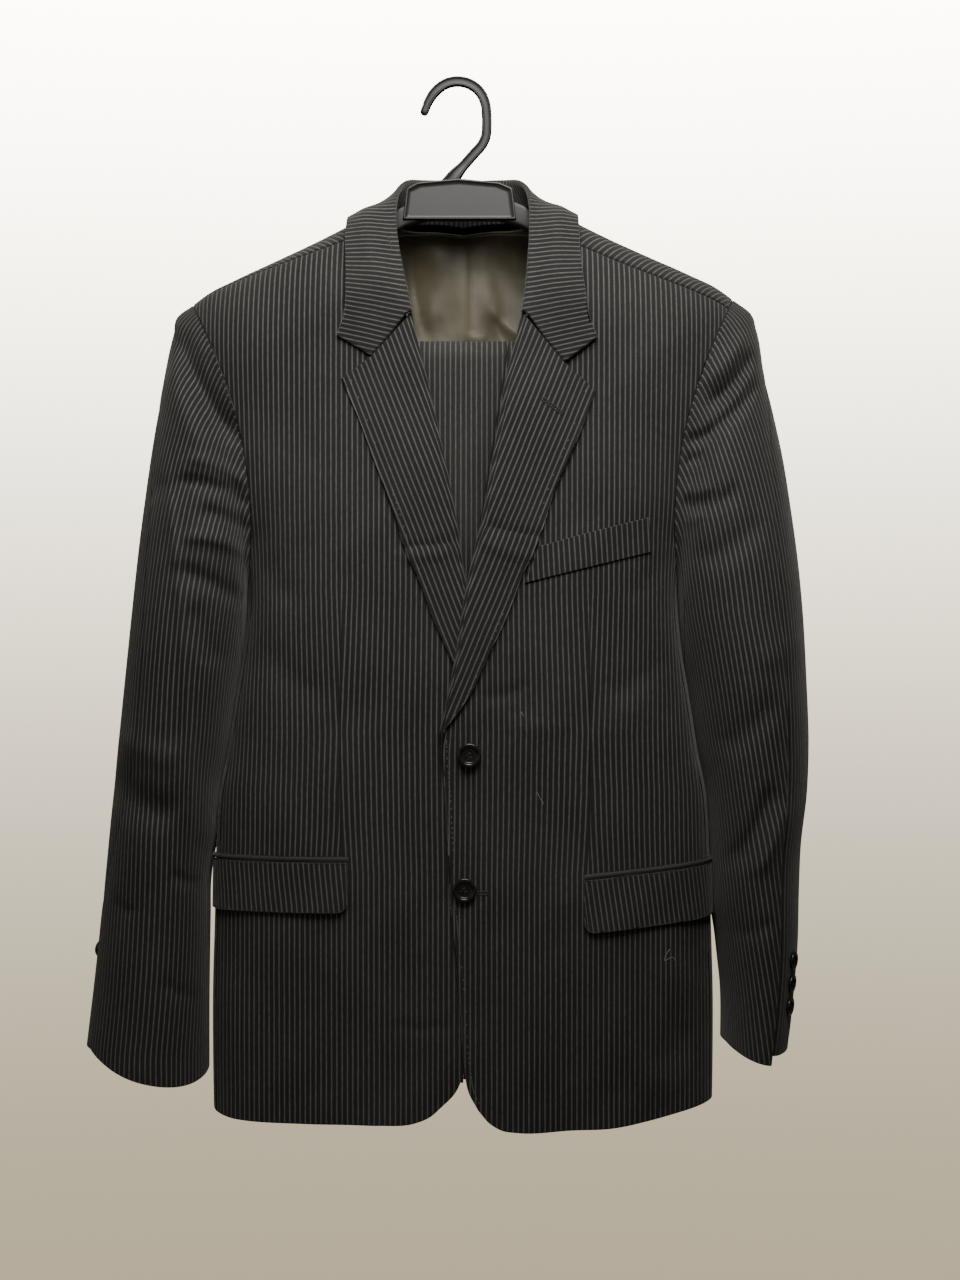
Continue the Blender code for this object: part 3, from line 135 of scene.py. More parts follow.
SLEEVE = {
    LEFT: table("w z_out z_in front back bend hind inside", [
        (0.00, -0.1890, -0.4400, 0.050, 0.042, 0.0235, -66.5, 128.4),
        (0.04, -0.1970, -0.4470, 0.056, 0.047, 0.0210, -52.0, 131.0),
        (0.10, -0.2220, -0.4620, 0.064, 0.051, 0.0160, -25.0, 139.0),
        (0.18, -0.2650, -0.4870, 0.072, 0.054, 0.0090, 20.0, 155.0),
        (0.28, -0.3300, -0.5220, 0.077, 0.055, 0.0030, 46.0, 180.0),
        (0.40, -0.4150, -0.5700, 0.078, 0.055, 0.0000, 60.0, 202.0),
        (0.52, -0.5000, -0.6220, 0.078, 0.053, 0.0000, 63.0, 220.0),
        (0.64, -0.5850, -0.6760, 0.077, 0.051, 0.0000, 68.0, 225.0),
        (0.76, -0.6700, -0.7310, 0.076, 0.049, 0.0000, 70.0, 230.0),
        (0.88, -0.7500, -0.7800, 0.075, 0.047, 0.0000, 73.0, 232.0),
        (1.00, -0.8335, -0.8270, 0.074, 0.045, 0.0000, 76.0, 235.0),
    ]),
    RIGHT: table("w z_out z_in front back bend hind inside", [
        (0.00, -0.1915, -0.4400, 0.050, 0.042, 0.0235, -66.5, 128.4),
        (0.04, -0.1990, -0.4470, 0.056, 0.047, 0.0210, -52.0, 131.0),
        (0.10, -0.2240, -0.4620, 0.064, 0.051, 0.0160, -25.0, 139.0),
        (0.18, -0.2670, -0.4870, 0.072, 0.054, 0.0090, 10.0, 155.0),
        (0.28, -0.3300, -0.5220, 0.076, 0.054, 0.0030, 34.0, 180.0),
        (0.40, -0.4150, -0.5700, 0.076, 0.050, 0.0000, 50.0, 202.0),
        (0.52, -0.5000, -0.6220, 0.073, 0.044, 0.0000, 60.0, 220.0),
        (0.64, -0.5850, -0.6760, 0.068, 0.038, 0.0000, 56.0, 225.0),
        (0.76, -0.6700, -0.7310, 0.063, 0.032, 0.0000, 34.0, 226.0),
        (0.88, -0.7500, -0.7860, 0.059, 0.027, 0.0000, -4.0, 222.0),
        (1.00, -0.8325, -0.8420, 0.057, 0.023, 0.0000, -34.0, 216.0),
    ]),
}
SLEEVE_OUT = {
    LEFT: table("z x", [
        (-0.8340, 0.2807), (-0.8060, 0.2834), (-0.7710, 0.2871), (-0.7440, 0.2893), (-0.6910, 0.2908),
        (-0.6560, 0.2925), (-0.6080, 0.2980), (-0.5710, 0.2993), (-0.5180, 0.2976), (-0.4480, 0.2936),
        (-0.3985, 0.2885), (-0.3600, 0.2830), (-0.3206, 0.2767), (-0.2845, 0.2690), (-0.2490, 0.2610),
        (-0.2130, 0.2550), (-0.1970, 0.2490), (-0.1866, 0.2350),
    ]),
    RIGHT: table("z x", [
        (-0.8330, 0.3265), (-0.7790, 0.3200), (-0.7040, 0.3119), (-0.6250, 0.3039), (-0.5450, 0.2958),
        (-0.4730, 0.2883), (-0.4190, 0.2827), (-0.3690, 0.2766), (-0.3120, 0.2688), (-0.2645, 0.2609),
        (-0.2170, 0.2515), (-0.1990, 0.2460), (-0.1914, 0.2350),
    ]),
}
SLEEVE_IN = {
    LEFT: table("z x", [
        (-0.8420, 0.2240), (-0.7770, 0.2232), (-0.7590, 0.2212), (-0.7350, 0.2185), (-0.7120, 0.2150),
        (-0.6900, 0.2136), (-0.6600, 0.2127), (-0.6300, 0.2112), (-0.6100, 0.2092), (-0.5830, 0.2037),
        (-0.5300, 0.1952), (-0.4900, 0.1887), (-0.4600, 0.1862), (-0.4400, 0.1860),
    ]),
    RIGHT: table("z x", [
        (-0.8420, 0.2205), (-0.7950, 0.2205), (-0.7200, 0.2195), (-0.6900, 0.2190), (-0.6700, 0.2165),
        (-0.6550, 0.2135), (-0.6300, 0.2112), (-0.6100, 0.2092), (-0.5830, 0.2037), (-0.5300, 0.1952),
        (-0.4900, 0.1887), (-0.4600, 0.1862), (-0.4400, 0.1860),
    ]),
}
CUFF_DROP, CUFF_DROP_AT = {LEFT: 0.008, RIGHT: 0.022}, {LEFT: 70.0, RIGHT: 120.0}
SLEEVE_RELEASE = 0.14
POCKET = {
    LEFT: dict(x=0.1020, z=-0.6840, rise=0.0125, height=0.0455, jetting=0.0050, reach=0.94),
    RIGHT: dict(x=0.0960, z=-0.6690, rise=0.0000, height=0.0430, jetting=0.0050, reach=0.94),
}
POCKET_PIECE_T = 0.0018
WELT = table("x z", [(0.0520, -0.4345), (0.1593, -0.4077), (0.1567, -0.3781), (0.0640, -0.4035)])
WELT_T = 0.0011
BUTTONS = table("x z", [(0.0059, -0.5784), (0.0018, -0.6918)])
LINING = dict(half=0.125, low=-0.4200, gap=0.0040)
BAR_TOP, BAR_H, LEG_T, FOLD_R, FOLD_Z = -0.2340, 0.010, 0.0040, 0.0088, -0.2393
TROUSERS = table("s half", [
    (0.000, 0.1000), (0.250, 0.1080), (0.480, 0.1130), (0.520, 0.1140), (0.750, 0.1300), (0.920, 0.1350),
    (1.000, 0.1150),
])
TROUSERS_X, FRONT_DROP, BACK_DROP = -0.004, 0.485, 0.455
WAISTBAND = dict(half=0.113, height=0.038, thick=0.0105)

# ---- the creases: soft ridges (+) or troughs (-) from one point to another, seen from the side they face -
# facing -1 is the front and 1 the back; bow bends the line sideways by that part of its length.
BODY_CREASES = table("x0 z0 x1 z1 width height bow facing", [
    # the solids' own folds by the side seams
    (0.2100, -0.7480, 0.1750, -0.8450, 0.016, -0.0050, 0, -1),
    (0.1900, -0.7600, 0.1550, -0.8600, 0.018, 0.0030, 0, -1),
    # the wearer's left skirt, below the pocket
    (0.2080, -0.7440, 0.1920, -0.8100, 0.007, 0.0026, 0.06, -1),
    (0.1500, -0.7400, 0.1440, -0.8600, 0.016, -0.0016, -0.05, -1),
    (0.0700, -0.7500, 0.0840, -0.8700, 0.018, 0.0014, 0.04, -1),
    # the wearer's right skirt
    (-0.0590, -0.8060, -0.0110, -0.8080, 0.004, -0.0012, 0.05, -1),
    (-0.1960, -0.7700, -0.1860, -0.8780, 0.012, 0.0018, 0.03, -1),
    (-0.1300, -0.7600, -0.1180, -0.8700, 0.017, -0.0014, -0.04, -1),
    # the lapels
    (-0.0540, -0.4035, -0.0080, -0.4000, 0.0038, -0.0014, 0.02, -1),
    (-0.0540, -0.4125, -0.0120, -0.4085, 0.0045, 0.0014, 0.02, -1),
    (0.0200, -0.3860, 0.0640, -0.3945, 0.0042, -0.0014, 0.03, -1),
    (0.0120, -0.3990, 0.0580, -0.4120, 0.0050, 0.0014, 0.03, -1),
    # the chest and the waist
    (0.0180, -0.5300, 0.0520, -0.5220, 0.005, -0.0016, 0.05, -1),
    (0.0300, -0.5450, 0.0900, -0.5560, 0.009, 0.0012, 0.08, -1),
    (-0.1700, -0.4900, -0.1150, -0.5300, 0.012, -0.0018, 0.06, -1),
    (0.1720, -0.4950, 0.1250, -0.5280, 0.011, -0.0016, -0.06, -1),
    (-0.1740, -0.3900, -0.1420, -0.4500, 0.012, -0.0020, 0.10, -1),
    (0.1760, -0.3850, 0.1450, -0.4450, 0.012, -0.0020, -0.10, -1),
    (-0.1500, -0.2300, -0.1250, -0.3300, 0.016, -0.0012, 0.05, -1),
    # hidden: the back's drape from the shoulder blades to the waist, and its skirt
    (-0.1500, -0.2700, -0.0900, -0.3900, 0.020, -0.0022, 0.10, 1),
    (0.1450, -0.2600, 0.0950, -0.3800, 0.018, -0.0020, -0.08, 1),
    (-0.1400, -0.4700, -0.0500, -0.5150, 0.012, -0.0020, 0.06, 1),
    (0.1500, -0.4800, 0.0600, -0.5050, 0.013, -0.0018, -0.05, 1),
    (0.1100, -0.5400, 0.1300, -0.7200, 0.020, 0.0020, 0.05, 1),
    (-0.1000, -0.5600, -0.1350, -0.7600, 0.022, 0.0018, -0.04, 1),
    (0.0500, -0.6800, 0.0700, -0.8600, 0.020, -0.0016, 0.04, 1),
    (-0.0500, -0.7000, -0.0420, -0.8700, 0.018, 0.0014, 0.03, 1),
])
SLEEVE_CREASES = table("x0 z0 x1 z1 width height bow facing", [
    # the wearer's right sleeve, from its head down
    (-0.2400, -0.2220, -0.1960, -0.3080, 0.0084, -0.0101, 0.06, -1),
    (-0.2550, -0.2500, -0.2150, -0.3200, 0.0106, 0.0041, 0.05, -1),
    (-0.2100, -0.2300, -0.1870, -0.2950, 0.0070, 0.0030, 0.04, -1),
    (-0.2280, -0.3300, -0.1850, -0.3480, 0.0044, 0.0043, -0.08, -1),
    (-0.2360, -0.3480, -0.1850, -0.3640, 0.0055, -0.0070, -0.06, -1),
    (-0.2050, -0.3590, -0.1850, -0.3600, 0.0031, 0.0030, 0.00, -1),
    (-0.2180, -0.3740, -0.1850, -0.3880, 0.0062, -0.0059, -0.05, -1),
    (-0.2300, -0.3960, -0.1840, -0.4080, 0.0051, 0.0054, -0.08, -1),
    (-0.2400, -0.4240, -0.1900, -0.4480, 0.0079, -0.0054, -0.06, -1),
    (-0.2250, -0.4560, -0.2080, -0.5000, 0.0097, -0.0041, 0.05, -1),
    (-0.2620, -0.3500, -0.2300, -0.3560, 0.0097, -0.0030, 0.04, -1),
    (-0.2520, -0.3300, -0.2320, -0.6500, 0.0046, 0.0034, -0.03, -1),
    (-0.3000, -0.6000, -0.2450, -0.6300, 0.0150, -0.0062, 0.05, -1),
    (-0.2900, -0.5640, -0.2400, -0.5820, 0.0106, 0.0030, 0.06, -1),
    (-0.2960, -0.7040, -0.2760, -0.7120, 0.0044, -0.0019, 0.08, -1),
    (-0.2450, -0.6800, -0.2260, -0.6900, 0.0053, -0.0030, 0.05, -1),
    (-0.2520, -0.7720, -0.2250, -0.7900, 0.0053, -0.0027, 0.06, -1),
    # the wearer's left sleeve
    (0.2120, -0.2810, 0.2460, -0.2400, 0.0057, -0.0083, 0.05, -1),
    (0.1920, -0.3120, 0.2120, -0.3050, 0.0044, -0.0074, 0.10, -1),
    (0.2120, -0.3050, 0.2500, -0.2650, 0.0053, -0.0074, 0.04, -1),
    (0.2060, -0.2640, 0.2400, -0.2240, 0.0070, 0.0042, 0.04, -1),
    (0.1900, -0.3300, 0.2040, -0.3280, 0.0035, -0.0048, 0.00, -1),
    (0.1880, -0.3560, 0.2080, -0.3550, 0.0044, 0.0045, 0.05, -1),
    (0.1880, -0.3800, 0.2020, -0.3780, 0.0044, 0.0038, 0.05, -1),
    (0.1900, -0.3680, 0.2300, -0.3580, 0.0070, -0.0048, 0.08, -1),
    (0.2000, -0.4150, 0.2500, -0.3850, 0.0106, -0.0041, 0.06, -1),
    (0.2280, -0.6700, 0.2580, -0.6090, 0.0079, -0.0065, 0.05, -1),
    (0.2450, -0.6760, 0.2720, -0.6200, 0.0066, 0.0041, 0.05, -1),
    (0.2220, -0.5720, 0.2600, -0.5340, 0.0106, -0.0035, 0.06, -1),
    (0.2480, -0.5000, 0.2860, -0.4800, 0.0123, 0.0024, 0.05, -1),
    (0.2300, -0.7300, 0.2600, -0.7180, 0.0070, -0.0024, 0.05, -1),
    # hidden: the backs of both sleeves, about the elbows
    (-0.2900, -0.3700, -0.2350, -0.4200, 0.0141, -0.0035, 0.05, 1),
    (-0.3050, -0.5500, -0.2450, -0.5750, 0.0106, -0.0035, 0.06, 1),
    (-0.3100, -0.6200, -0.2500, -0.6350, 0.0114, -0.0030, -0.06, 1),
    (0.2850, -0.3600, 0.2300, -0.4050, 0.0132, -0.0032, -0.05, 1),
    (0.2950, -0.5600, 0.2350, -0.5900, 0.0106, -0.0034, 0.05, 1),
    (0.2950, -0.6300, 0.2400, -0.6450, 0.0123, -0.0028, -0.06, 1),
])
SWELL = 0.0007                 # the height of the cloth's slow unevenness


# ---- curves and forms ------------------------------------------------------------------------------------
def hermite(t, h, start, end, start_slope, end_slope):
    """The cubic piece of width h between two values with these slopes, at its part t."""
    a = (1 + 2 * t) * (1 - t) ** 2 * start + t * t * (3 - 2 * t) * end
    return a + h * (t * (1 - t) ** 2 * start_slope - t * t * (1 - t) * end_slope)


def curve(xs, ys, x):
    """A smooth curve through the points (xs, ys), whose slopes are the central differences."""
    slope = np.gradient(ys, xs)
    x = np.clip(x, xs[0], xs[-1])
    i = np.clip(np.searchsorted(xs, x, side="right") - 1, 0, len(xs) - 2)
    h = xs[i + 1] - xs[i]
    return hermite((x - xs[i]) / h, h, ys[i], ys[i + 1], slope[i], slope[i + 1])


def column(rows, name, x, key="z"):
    return curve(rows[key], rows[name], np.asarray(x, float))


def smooth(t):
    """0 up to t = 0, 1 from t = 1, and an even S between."""
    t = np.clip(t, 0.0, 1.0)
    return t * t * (3 - 2 * t)


def unit(v):
    return v / np.maximum(np.linalg.norm(v, axis=-1, keepdims=True), 1e-12)


def run_of(points):
    """The length along a polyline up to each of its points."""
    return np.concatenate([[0.0], np.cumsum(np.linalg.norm(np.diff(points, axis=0), axis=1))])


def summed(steps):
    """Running sums along each row, from 0."""
    return np.concatenate([np.zeros((len(steps), 1)), np.cumsum(steps, axis=1)], axis=1)


def between(grid, row, place):
    """A grid's values at places between its rows and columns."""
    i, j = (np.clip(np.floor(v).astype(int), 0, n - 2) for v, n in zip((row, place), grid.shape))
    a, b = row - i, place - j
    low = grid[i, j] * (1 - b) + grid[i, j + 1] * b
    high = grid[i + 1, j] * (1 - b) + grid[i + 1, j + 1] * b
    return low * (1 - a) + high * a


def resample(points, count):
    """That many points at even steps along a polyline, ends included."""
    run = run_of(points)
    at = np.linspace(0.0, run[-1], count)
    return np.stack([np.interp(at, run, points[:, k]) for k in range(points.shape[1])], axis=1)


def smooth_line(rows, count):
    """That many points at even steps along a smooth curve through a table's x and z."""
    knots = np.stack([rows["x"], rows["z"]], axis=1)
    run = run_of(knots)
    fine = np.linspace(0.0, run[-1], 1200)
    line = np.stack([curve(run, knots[:, k], fine) for k in (0, 1)], axis=1)
    return resample(line, count)


def patch(bottom, top, left, right):
    """A Coons patch: rows from bottom to top, columns from left to right, through four edge lines."""
    u = np.linspace(0, 1, len(bottom))[None, :, None]
    v = np.linspace(0, 1, len(left))[:, None, None]
    ruled = (1 - v) * bottom[None] + v * top[None] + (1 - u) * left[:, None] + u * right[:, None]
    corners = (1 - u) * ((1 - v) * bottom[0] + v * top[0]) + u * ((1 - v) * bottom[-1] + v * top[-1])
    return ruled - corners


def through(lines, steps, straight):
    """A surface through a grid's columns, in so many steps each: curved, or straight by a row's share."""
    run = np.concatenate([[0.0], np.cumsum(np.linalg.norm(np.diff(lines, axis=1), axis=2).mean(axis=0))])
    slope = np.gradient(lines, run, axis=1)
    i = np.append(np.repeat(np.arange(len(steps)), steps), len(steps) - 1)
    t = np.append(np.concatenate([np.arange(n) / n for n in steps]), 1.0)[None, :, None]
    h = (run[i + 1] - run[i])[None, :, None]
    soft = hermite(t, h, lines[:, i], lines[:, i + 1], slope[:, i], slope[:, i + 1])
    line = (1 - t) * lines[:, i] + t * lines[:, i + 1]
    return soft + straight[:, None, None] * (line - soft)


def ridge(x):
    return column(RIDGE, "z", np.abs(x), "x") + TILT * x


def over_of(x, z, facing):
    """The distance over the ridge, + in front and - behind, of the body's point at x and z."""
    drop = np.maximum(ridge(x) - z, 0.0)
    turned = ROOF * np.arccos(np.clip(1 - drop / ROOF, 0.0, 1.0))
    return facing * (turned + np.maximum(drop - ROOF, 0.0))


def body(x, over):
    """The jacket's body at x, so far over the ridge: a squared section, rounded over at the shoulders."""
    turn = np.clip(np.abs(over) / ROOF, 0, math.pi / 2)
    drop = ROOF * (1 - np.cos(turn)) + np.maximum(np.abs(over) - ROOF * math.pi / 2, 0)
    z = ridge(x) - drop
    depth = np.where(over > 0, column(BODY, "front", z), column(BODY, "back", z))
    inside = np.clip(np.abs(x) / column(BODY, "half", z), 0, 1)
    y = -np.sign(over) * depth * (1 - inside**SQUARE) ** (1 / SQUARE) * np.sin(turn)
    return np.stack([x + 0 * z, y, z], axis=-1)


def quarter():
    """A quarter of the body's section at unit size, and the part of its length at each point."""
    t = np.linspace(0, math.pi / 2, 600)
    x, y = np.sin(t) ** (2 / SQUARE), np.cos(t) ** (2 / SQUARE)
    steps = np.hypot(np.diff(x) * 0.21, np.diff(y) * 0.062)
    run = np.concatenate([[0.0], np.cumsum(steps)])
    return x, y, run / run[-1]


UNIT_X, UNIT_Y, UNIT_RUN = quarter()


def girth_of(x, z):
    """The part of a quarter of the girth, from the centre, at x and z."""
    return np.interp(np.abs(x) / column(BODY, "half", z), UNIT_X, UNIT_RUN)


def section_run(x, z, facing):
    """The length along the body's section from its centre to x, at height z."""
    levels = np.linspace(*BODY["z"][[0, -1]], 43)
    half = column(BODY, "half", levels)[:, None]
    depth = column(BODY, "front" if facing > 0 else "back", levels)[:, None]
    steps = np.hypot(np.diff(UNIT_X)[None] * half, np.diff(UNIT_Y)[None] * depth)
    at = np.interp(np.abs(x) / column(BODY, "half", z), UNIT_X, np.arange(len(UNIT_X)))
    level = np.clip((z - levels[0]) / (levels[1] - levels[0]), 0, len(levels) - 1.001)
    return np.sign(x) * between(summed(steps), level, at)


def around(side, part, z):
    """The body by part of a quarter of the girth: 0 in the middle in front, 1 at the side, 2 behind."""
    quarter_part = 1 - np.abs(1 - part)
    x = side * column(BODY, "half", z) * np.interp(quarter_part, UNIT_RUN, UNIT_X)
    depth = np.where(part < 1, -column(BODY, "front", z), column(BODY, "back", z))
    y = depth * np.interp(quarter_part, UNIT_RUN, UNIT_Y)
    return np.stack([x, y, z + 0 * x], axis=-1)


def armhole(side, angle):
    """x, z and the distance over the ridge of the armhole's loop."""
    c, s = np.cos(np.radians(angle)), np.sin(np.radians(angle))
    top = np.array([side * ARMHOLE_TOP_X, ridge(side * ARMHOLE_TOP_X)])
    low = np.array([side * ARMHOLE_LOW[0], ARMHOLE_LOW[1]])
    x = (top[0] + low[0]) / 2 + (top[0] - low[0]) / 2 * c - side * ARMHOLE_BEND * s * s
    z = (top[1] + low[1]) / 2 + (top[1] - low[1]) / 2 * c
    return x, z, over_of(x, z, np.where(s >= 0, 1, -1))


def creased(points, creases):
    """The points with slow swells, and with creases: bells along y that fade at their line's ends."""
    out = points.copy()
    x, y, z = points[..., 0], points[..., 1], points[..., 2]
    swell = np.sin(58 * x + 21 * z + 1.3) * np.sin(17 * x - 44 * z)
    swell = swell + 0.6 * np.sin(96 * x - 31 * z + 2.0 * np.sin(40 * z))
    out[..., 1] += SWELL * swell * np.abs(smooth(np.abs(y) / 0.03))
    for x0, z0, x1, z1, width, height, bow, facing in zip(*creases.values()):
        run = np.array([x1 - x0, z1 - z0])
        length = np.hypot(*run)
        along = ((x - x0) * run[0] + (z - z0) * run[1]) / length**2
        across = ((x - x0) * run[1] - (z - z0) * run[0]) / length
        across = across - bow * length * 4 * along * (1 - along)
        bell = np.exp(-((across / width) ** 2)) * smooth(along * 3 + 0.5) * smooth((1 - along) * 3 + 0.5)
        out[..., 1] += facing * height * bell * smooth(facing * y / 0.03)
    return out


def side_form(side, part, z):
    return creased(around(side, part, z), BODY_CREASES)


def front_form(side, x, over):
    """The outer face of a front, lifted or lowered along the centre where the fronts overlap."""
    points = body(x, over)
    near = smooth((OVERLAP_WIDTH - side * x) / OVERLAP_WIDTH)
    points[..., 1] -= near * column(OVERLAP, FACING[side], points[..., 2])
    return creased(points, BODY_CREASES)


def back_form(x, over):
    return creased(body(x, over), BODY_CREASES)


NORMAL_STEP = 0.0004           # half the distance over which a form's slopes are measured


def normal_of(form, a, b):
    """A form's outward unit normal at its two parameters."""
    across = form(a + NORMAL_STEP, b) - form(a - NORMAL_STEP, b)
    along = form(a, b + NORMAL_STEP) - form(a, b - NORMAL_STEP)
    return unit(-np.cross(across, along))


def moved_out(form, x, over, lift):
    """Points of the body's form moved out along its normal."""
    return form(x, over) + np.asarray(lift)[..., None] * normal_of(form, x, over)


def sleeve_tube(side, angle, w):
    """A sleeve without its creases, at an angle round it and a part w of its length.

    The angle is 0 outside, 90 in front and 180 inside.
    """
    rows = SLEEVE[side]
    c, s = np.cos(np.radians(angle)), np.sin(np.radians(angle))
    z_out, z_in = (column(rows, name, w, "w") for name in ("z_out", "z_in"))
    x_out, x_in = column(SLEEVE_OUT[side], "x", z_out), column(SLEEVE_IN[side], "x", z_in)
    depth = np.where(s > 0, column(rows, "front", w, "w"), column(rows, "back", w, "w"))
    x = (x_out + x_in) / 2 + (x_out - x_in) / 2 * c - column(rows, "bend", w, "w") * s * s
    drop = CUFF_DROP[side] * smooth((w - 0.75) / 0.25)
    low = np.maximum(np.cos(np.radians(angle - CUFF_DROP_AT[side])), 0)
    z = (z_out + z_in) / 2 + (z_out - z_in) / 2 * c - drop * low
    tube = np.stack([side * x, -depth * s, z], axis=-1)
    loop_x, _, loop_over = armhole(side, angle)
    loop = body(loop_x, loop_over)
    free = smooth(w / SLEEVE_RELEASE)[..., None]
    start = np.clip(1 - w / 0.02, 0, 1)[..., None]
    tube[..., 1:2] = tube[..., 1:2] * free + loop[..., 1:2] * (1 - free)
    return tube * (1 - start) + loop * start


def sleeve(side, angle, w):
    return creased(sleeve_tube(side, angle, w), SLEEVE_CREASES)


def sleeve_run(side, angle, z):
    """The length round a sleeve, on its level section at height z, from its outermost line to an angle."""
    turns = np.linspace(-240, 240, 241)
    w = np.linspace(0, 1, 200)
    tube = sleeve_tube(side, turns[:, None] + 0 * w, w + 0 * turns[:, None])
    levels = np.linspace(-0.870, -0.188, 160)
    section = np.array([[np.interp(-levels, -line[:, 2], line[:, k]) for k in (0, 1)] for line in tube])
    steps = np.linalg.norm(np.diff(section, axis=0), axis=1)
    runs = summed(steps.T)
    runs = runs - runs[:, len(turns) // 2:len(turns) // 2 + 1]
    at = np.clip((angle - turns[0]) / (turns[1] - turns[0]), 0, len(turns) - 1.001)
    level = np.clip((z - levels[0]) / (levels[1] - levels[0]), 0, len(levels) - 1.001)
    return between(runs, level, at)


# ---- materials -------------------------------------------------------------------------------------------
class Nodes:
    """Short calls that add a shader node and link or set its inputs."""

    def __init__(self, tree):
        self.tree = tree

    def add(self, kind, values=(), **settings):
        node = self.tree.nodes.new(kind)
        for key, value in settings.items():
            setattr(node, key, value)
        for socket, value in dict(values).items():
            self.put(node.inputs[socket], value)
        return node

    def put(self, socket, value):
        if isinstance(value, bpy.types.NodeSocket):
            self.tree.links.new(value, socket)
        else:
            socket.default_value = value

    def math(self, operation, a, b=0.0, c=0.0):
        return self.add("ShaderNodeMath", {0: a, 1: b, 2: c}, operation=operation).outputs[0]

    def times(self, a, b):
        return self.math("MULTIPLY", a, b)

    def plus(self, a, b):
        return self.math("ADD", a, b)

    def place(self, kind="Object"):
        return self.add("ShaderNodeTexCoord").outputs[kind]

    def flat(self):
        return self.add("ShaderNodeSeparateXYZ", {0: self.place("UV")}).outputs

    def field(self, name):
        return self.add("ShaderNodeAttribute", attribute_name=name).outputs["Fac"]

    def blend(self, share, a, b):
        node = self.add("ShaderNodeMix", {0: share, 6: a, 7: b}, data_type="RGBA")
        return node.outputs[2]

    def ramp(self, value, low, high, out_low=0.0, out_high=1.0):
        sizes = {0: value, 1: low, 2: high, 3: out_low, 4: out_high}
        return self.add("ShaderNodeMapRange", sizes, interpolation_type="SMOOTHSTEP").outputs[0]

    def noise(self, vector, scale, detail=2.0, roughness=0.5):
        values = {"Vector": vector, "Scale": scale, "Detail": detail, "Roughness": roughness}
        return self.add("ShaderNodeTexNoise", values).outputs[0]

    def point(self, x, y, z=0.0):
        return self.add("ShaderNodeCombineXYZ", {0: x, 1: y, 2: z}).outputs[0]


def group(name, inputs, outputs):
    """A node group with named inputs and outputs: its tree, its input sockets by name, and its output node."""
    tree = bpy.data.node_groups.new(name, "ShaderNodeTree")
    for label, value in inputs.items():
        kind = "NodeSocketColor" if isinstance(value, tuple) else "NodeSocketFloat"
        tree.interface.new_socket(label, in_out="INPUT", socket_type=kind).default_value = value
    for label, kind in outputs.items():
        tree.interface.new_socket(label, in_out="OUTPUT", socket_type="NodeSocket" + kind)
    ins = tree.nodes.new("NodeGroupInput")
    given = {socket.name: socket for socket in ins.outputs if socket.name}
    return tree, given, tree.nodes.new("NodeGroupOutput")


def stripe_group():
    """Pinstripes across U: a soft-edged line at each pitch, broken into the floats of its threads along V."""
    tree, given, out = group(
        "pinstripe", {"Across": 0.0, "Along": 0.0, "Pitch": 0.0045, "Width": 0.0009}, {"Mask": "Float"})
    n = Nodes(tree)
    sway = n.noise(n.point(given["Along"], given["Across"]), 60.0, 1.0)
    across = n.math("MULTIPLY_ADD", sway, 0.0003, given["Across"])
    phase = n.math("DIVIDE", across, given["Pitch"])
    offset = n.math("ABSOLUTE", n.math("SUBTRACT", n.math("FRACT", phase), 0.5))
    distance = n.times(offset, given["Pitch"])
    half = n.times(given["Width"], 0.5)
    line = n.ramp(distance, n.times(half, 0.5), n.times(half, 1.6), 1.0, 0.0)
    floats = n.math("SINE", n.times(given["Along"], 2 * math.pi / 0.0012))
    floats = n.math("MULTIPLY_ADD", floats, 0.16, 0.84)
    drawn_out = n.point(n.times(given["Along"], 0.25), across)
    uneven = n.ramp(n.noise(drawn_out, 700.0, 1.0), 0.2, 0.75, 0.62, 1.0)
    tree.links.new(n.times(line, n.times(floats, uneven)), out.inputs["Mask"])
    return tree


def weave_group():
    """A worsted's ground: a fine diagonal twill in the height, and fibres of mixed shades in the tone."""
    tree, given, out = group(
        "worsted", {"Across": 0.0, "Along": 0.0, "Thread": 0.0006}, {"Tone": "Float", "Height": "Float"})
    n = Nodes(tree)
    thread = given["Thread"]
    slant = n.math("DIVIDE", n.plus(given["Across"], n.times(given["Along"], 1.4)), thread)
    twill = n.math("SINE", n.times(slant, 2 * math.pi))
    cell = n.point(n.math("DIVIDE", given["Across"], thread), n.math("DIVIDE", given["Along"], thread))
    cell = n.add("ShaderNodeVectorMath", {0: cell}, operation="FLOOR").outputs[0]
    fibres = n.add("ShaderNodeTexWhiteNoise", {"Vector": cell})
    slub = n.noise(n.point(n.times(given["Across"], 0.4), given["Along"]), 900.0, 3.0)
    tone = n.plus(n.times(fibres.outputs[0], 0.30), n.times(slub, 0.9))
    tree.links.new(n.plus(tone, 0.42), out.inputs["Tone"])
    height = n.plus(n.times(twill, 0.5), n.times(slub, 1.2))
    tree.links.new(height, out.inputs["Height"])
    return tree


def wear_and_sheen_group():
    """Handling, dust and a painted sheen over the whole piece: broad soft patches, from 0 to 1, read at the
    piece's place.
    """
    tree, given, out = group("wear_and_sheen", {"Scale": 9.0}, {"Patches": "Float"})
    n = Nodes(tree)
    place = n.place()
    broad = n.noise(place, given["Scale"], 3.0, 0.55)
    tree.links.new(n.ramp(broad, 0.32, 0.70), out.inputs["Patches"])
    return tree


GROUPS = {"stripe": stripe_group(), "weave": weave_group(), "wear_and_sheen": wear_and_sheen_group()}


def placed(n, key, **values):
    node = n.add("ShaderNodeGroup", node_tree=GROUPS[key])
    for socket, value in values.items():
        n.put(node.inputs[socket], value)
    return node


def surface(name, **settings):
    """A material's node calls and its Principled shader, with plain values set on the shader's own sockets."""
    made = bpy.data.materials.new(name)
    made.use_nodes = True
    shader = made.node_tree.nodes["Principled BSDF"]
    for socket, value in settings.items():
        shader.inputs[socket.replace("_", " ")].default_value = value
    return made, Nodes(made.node_tree), shader


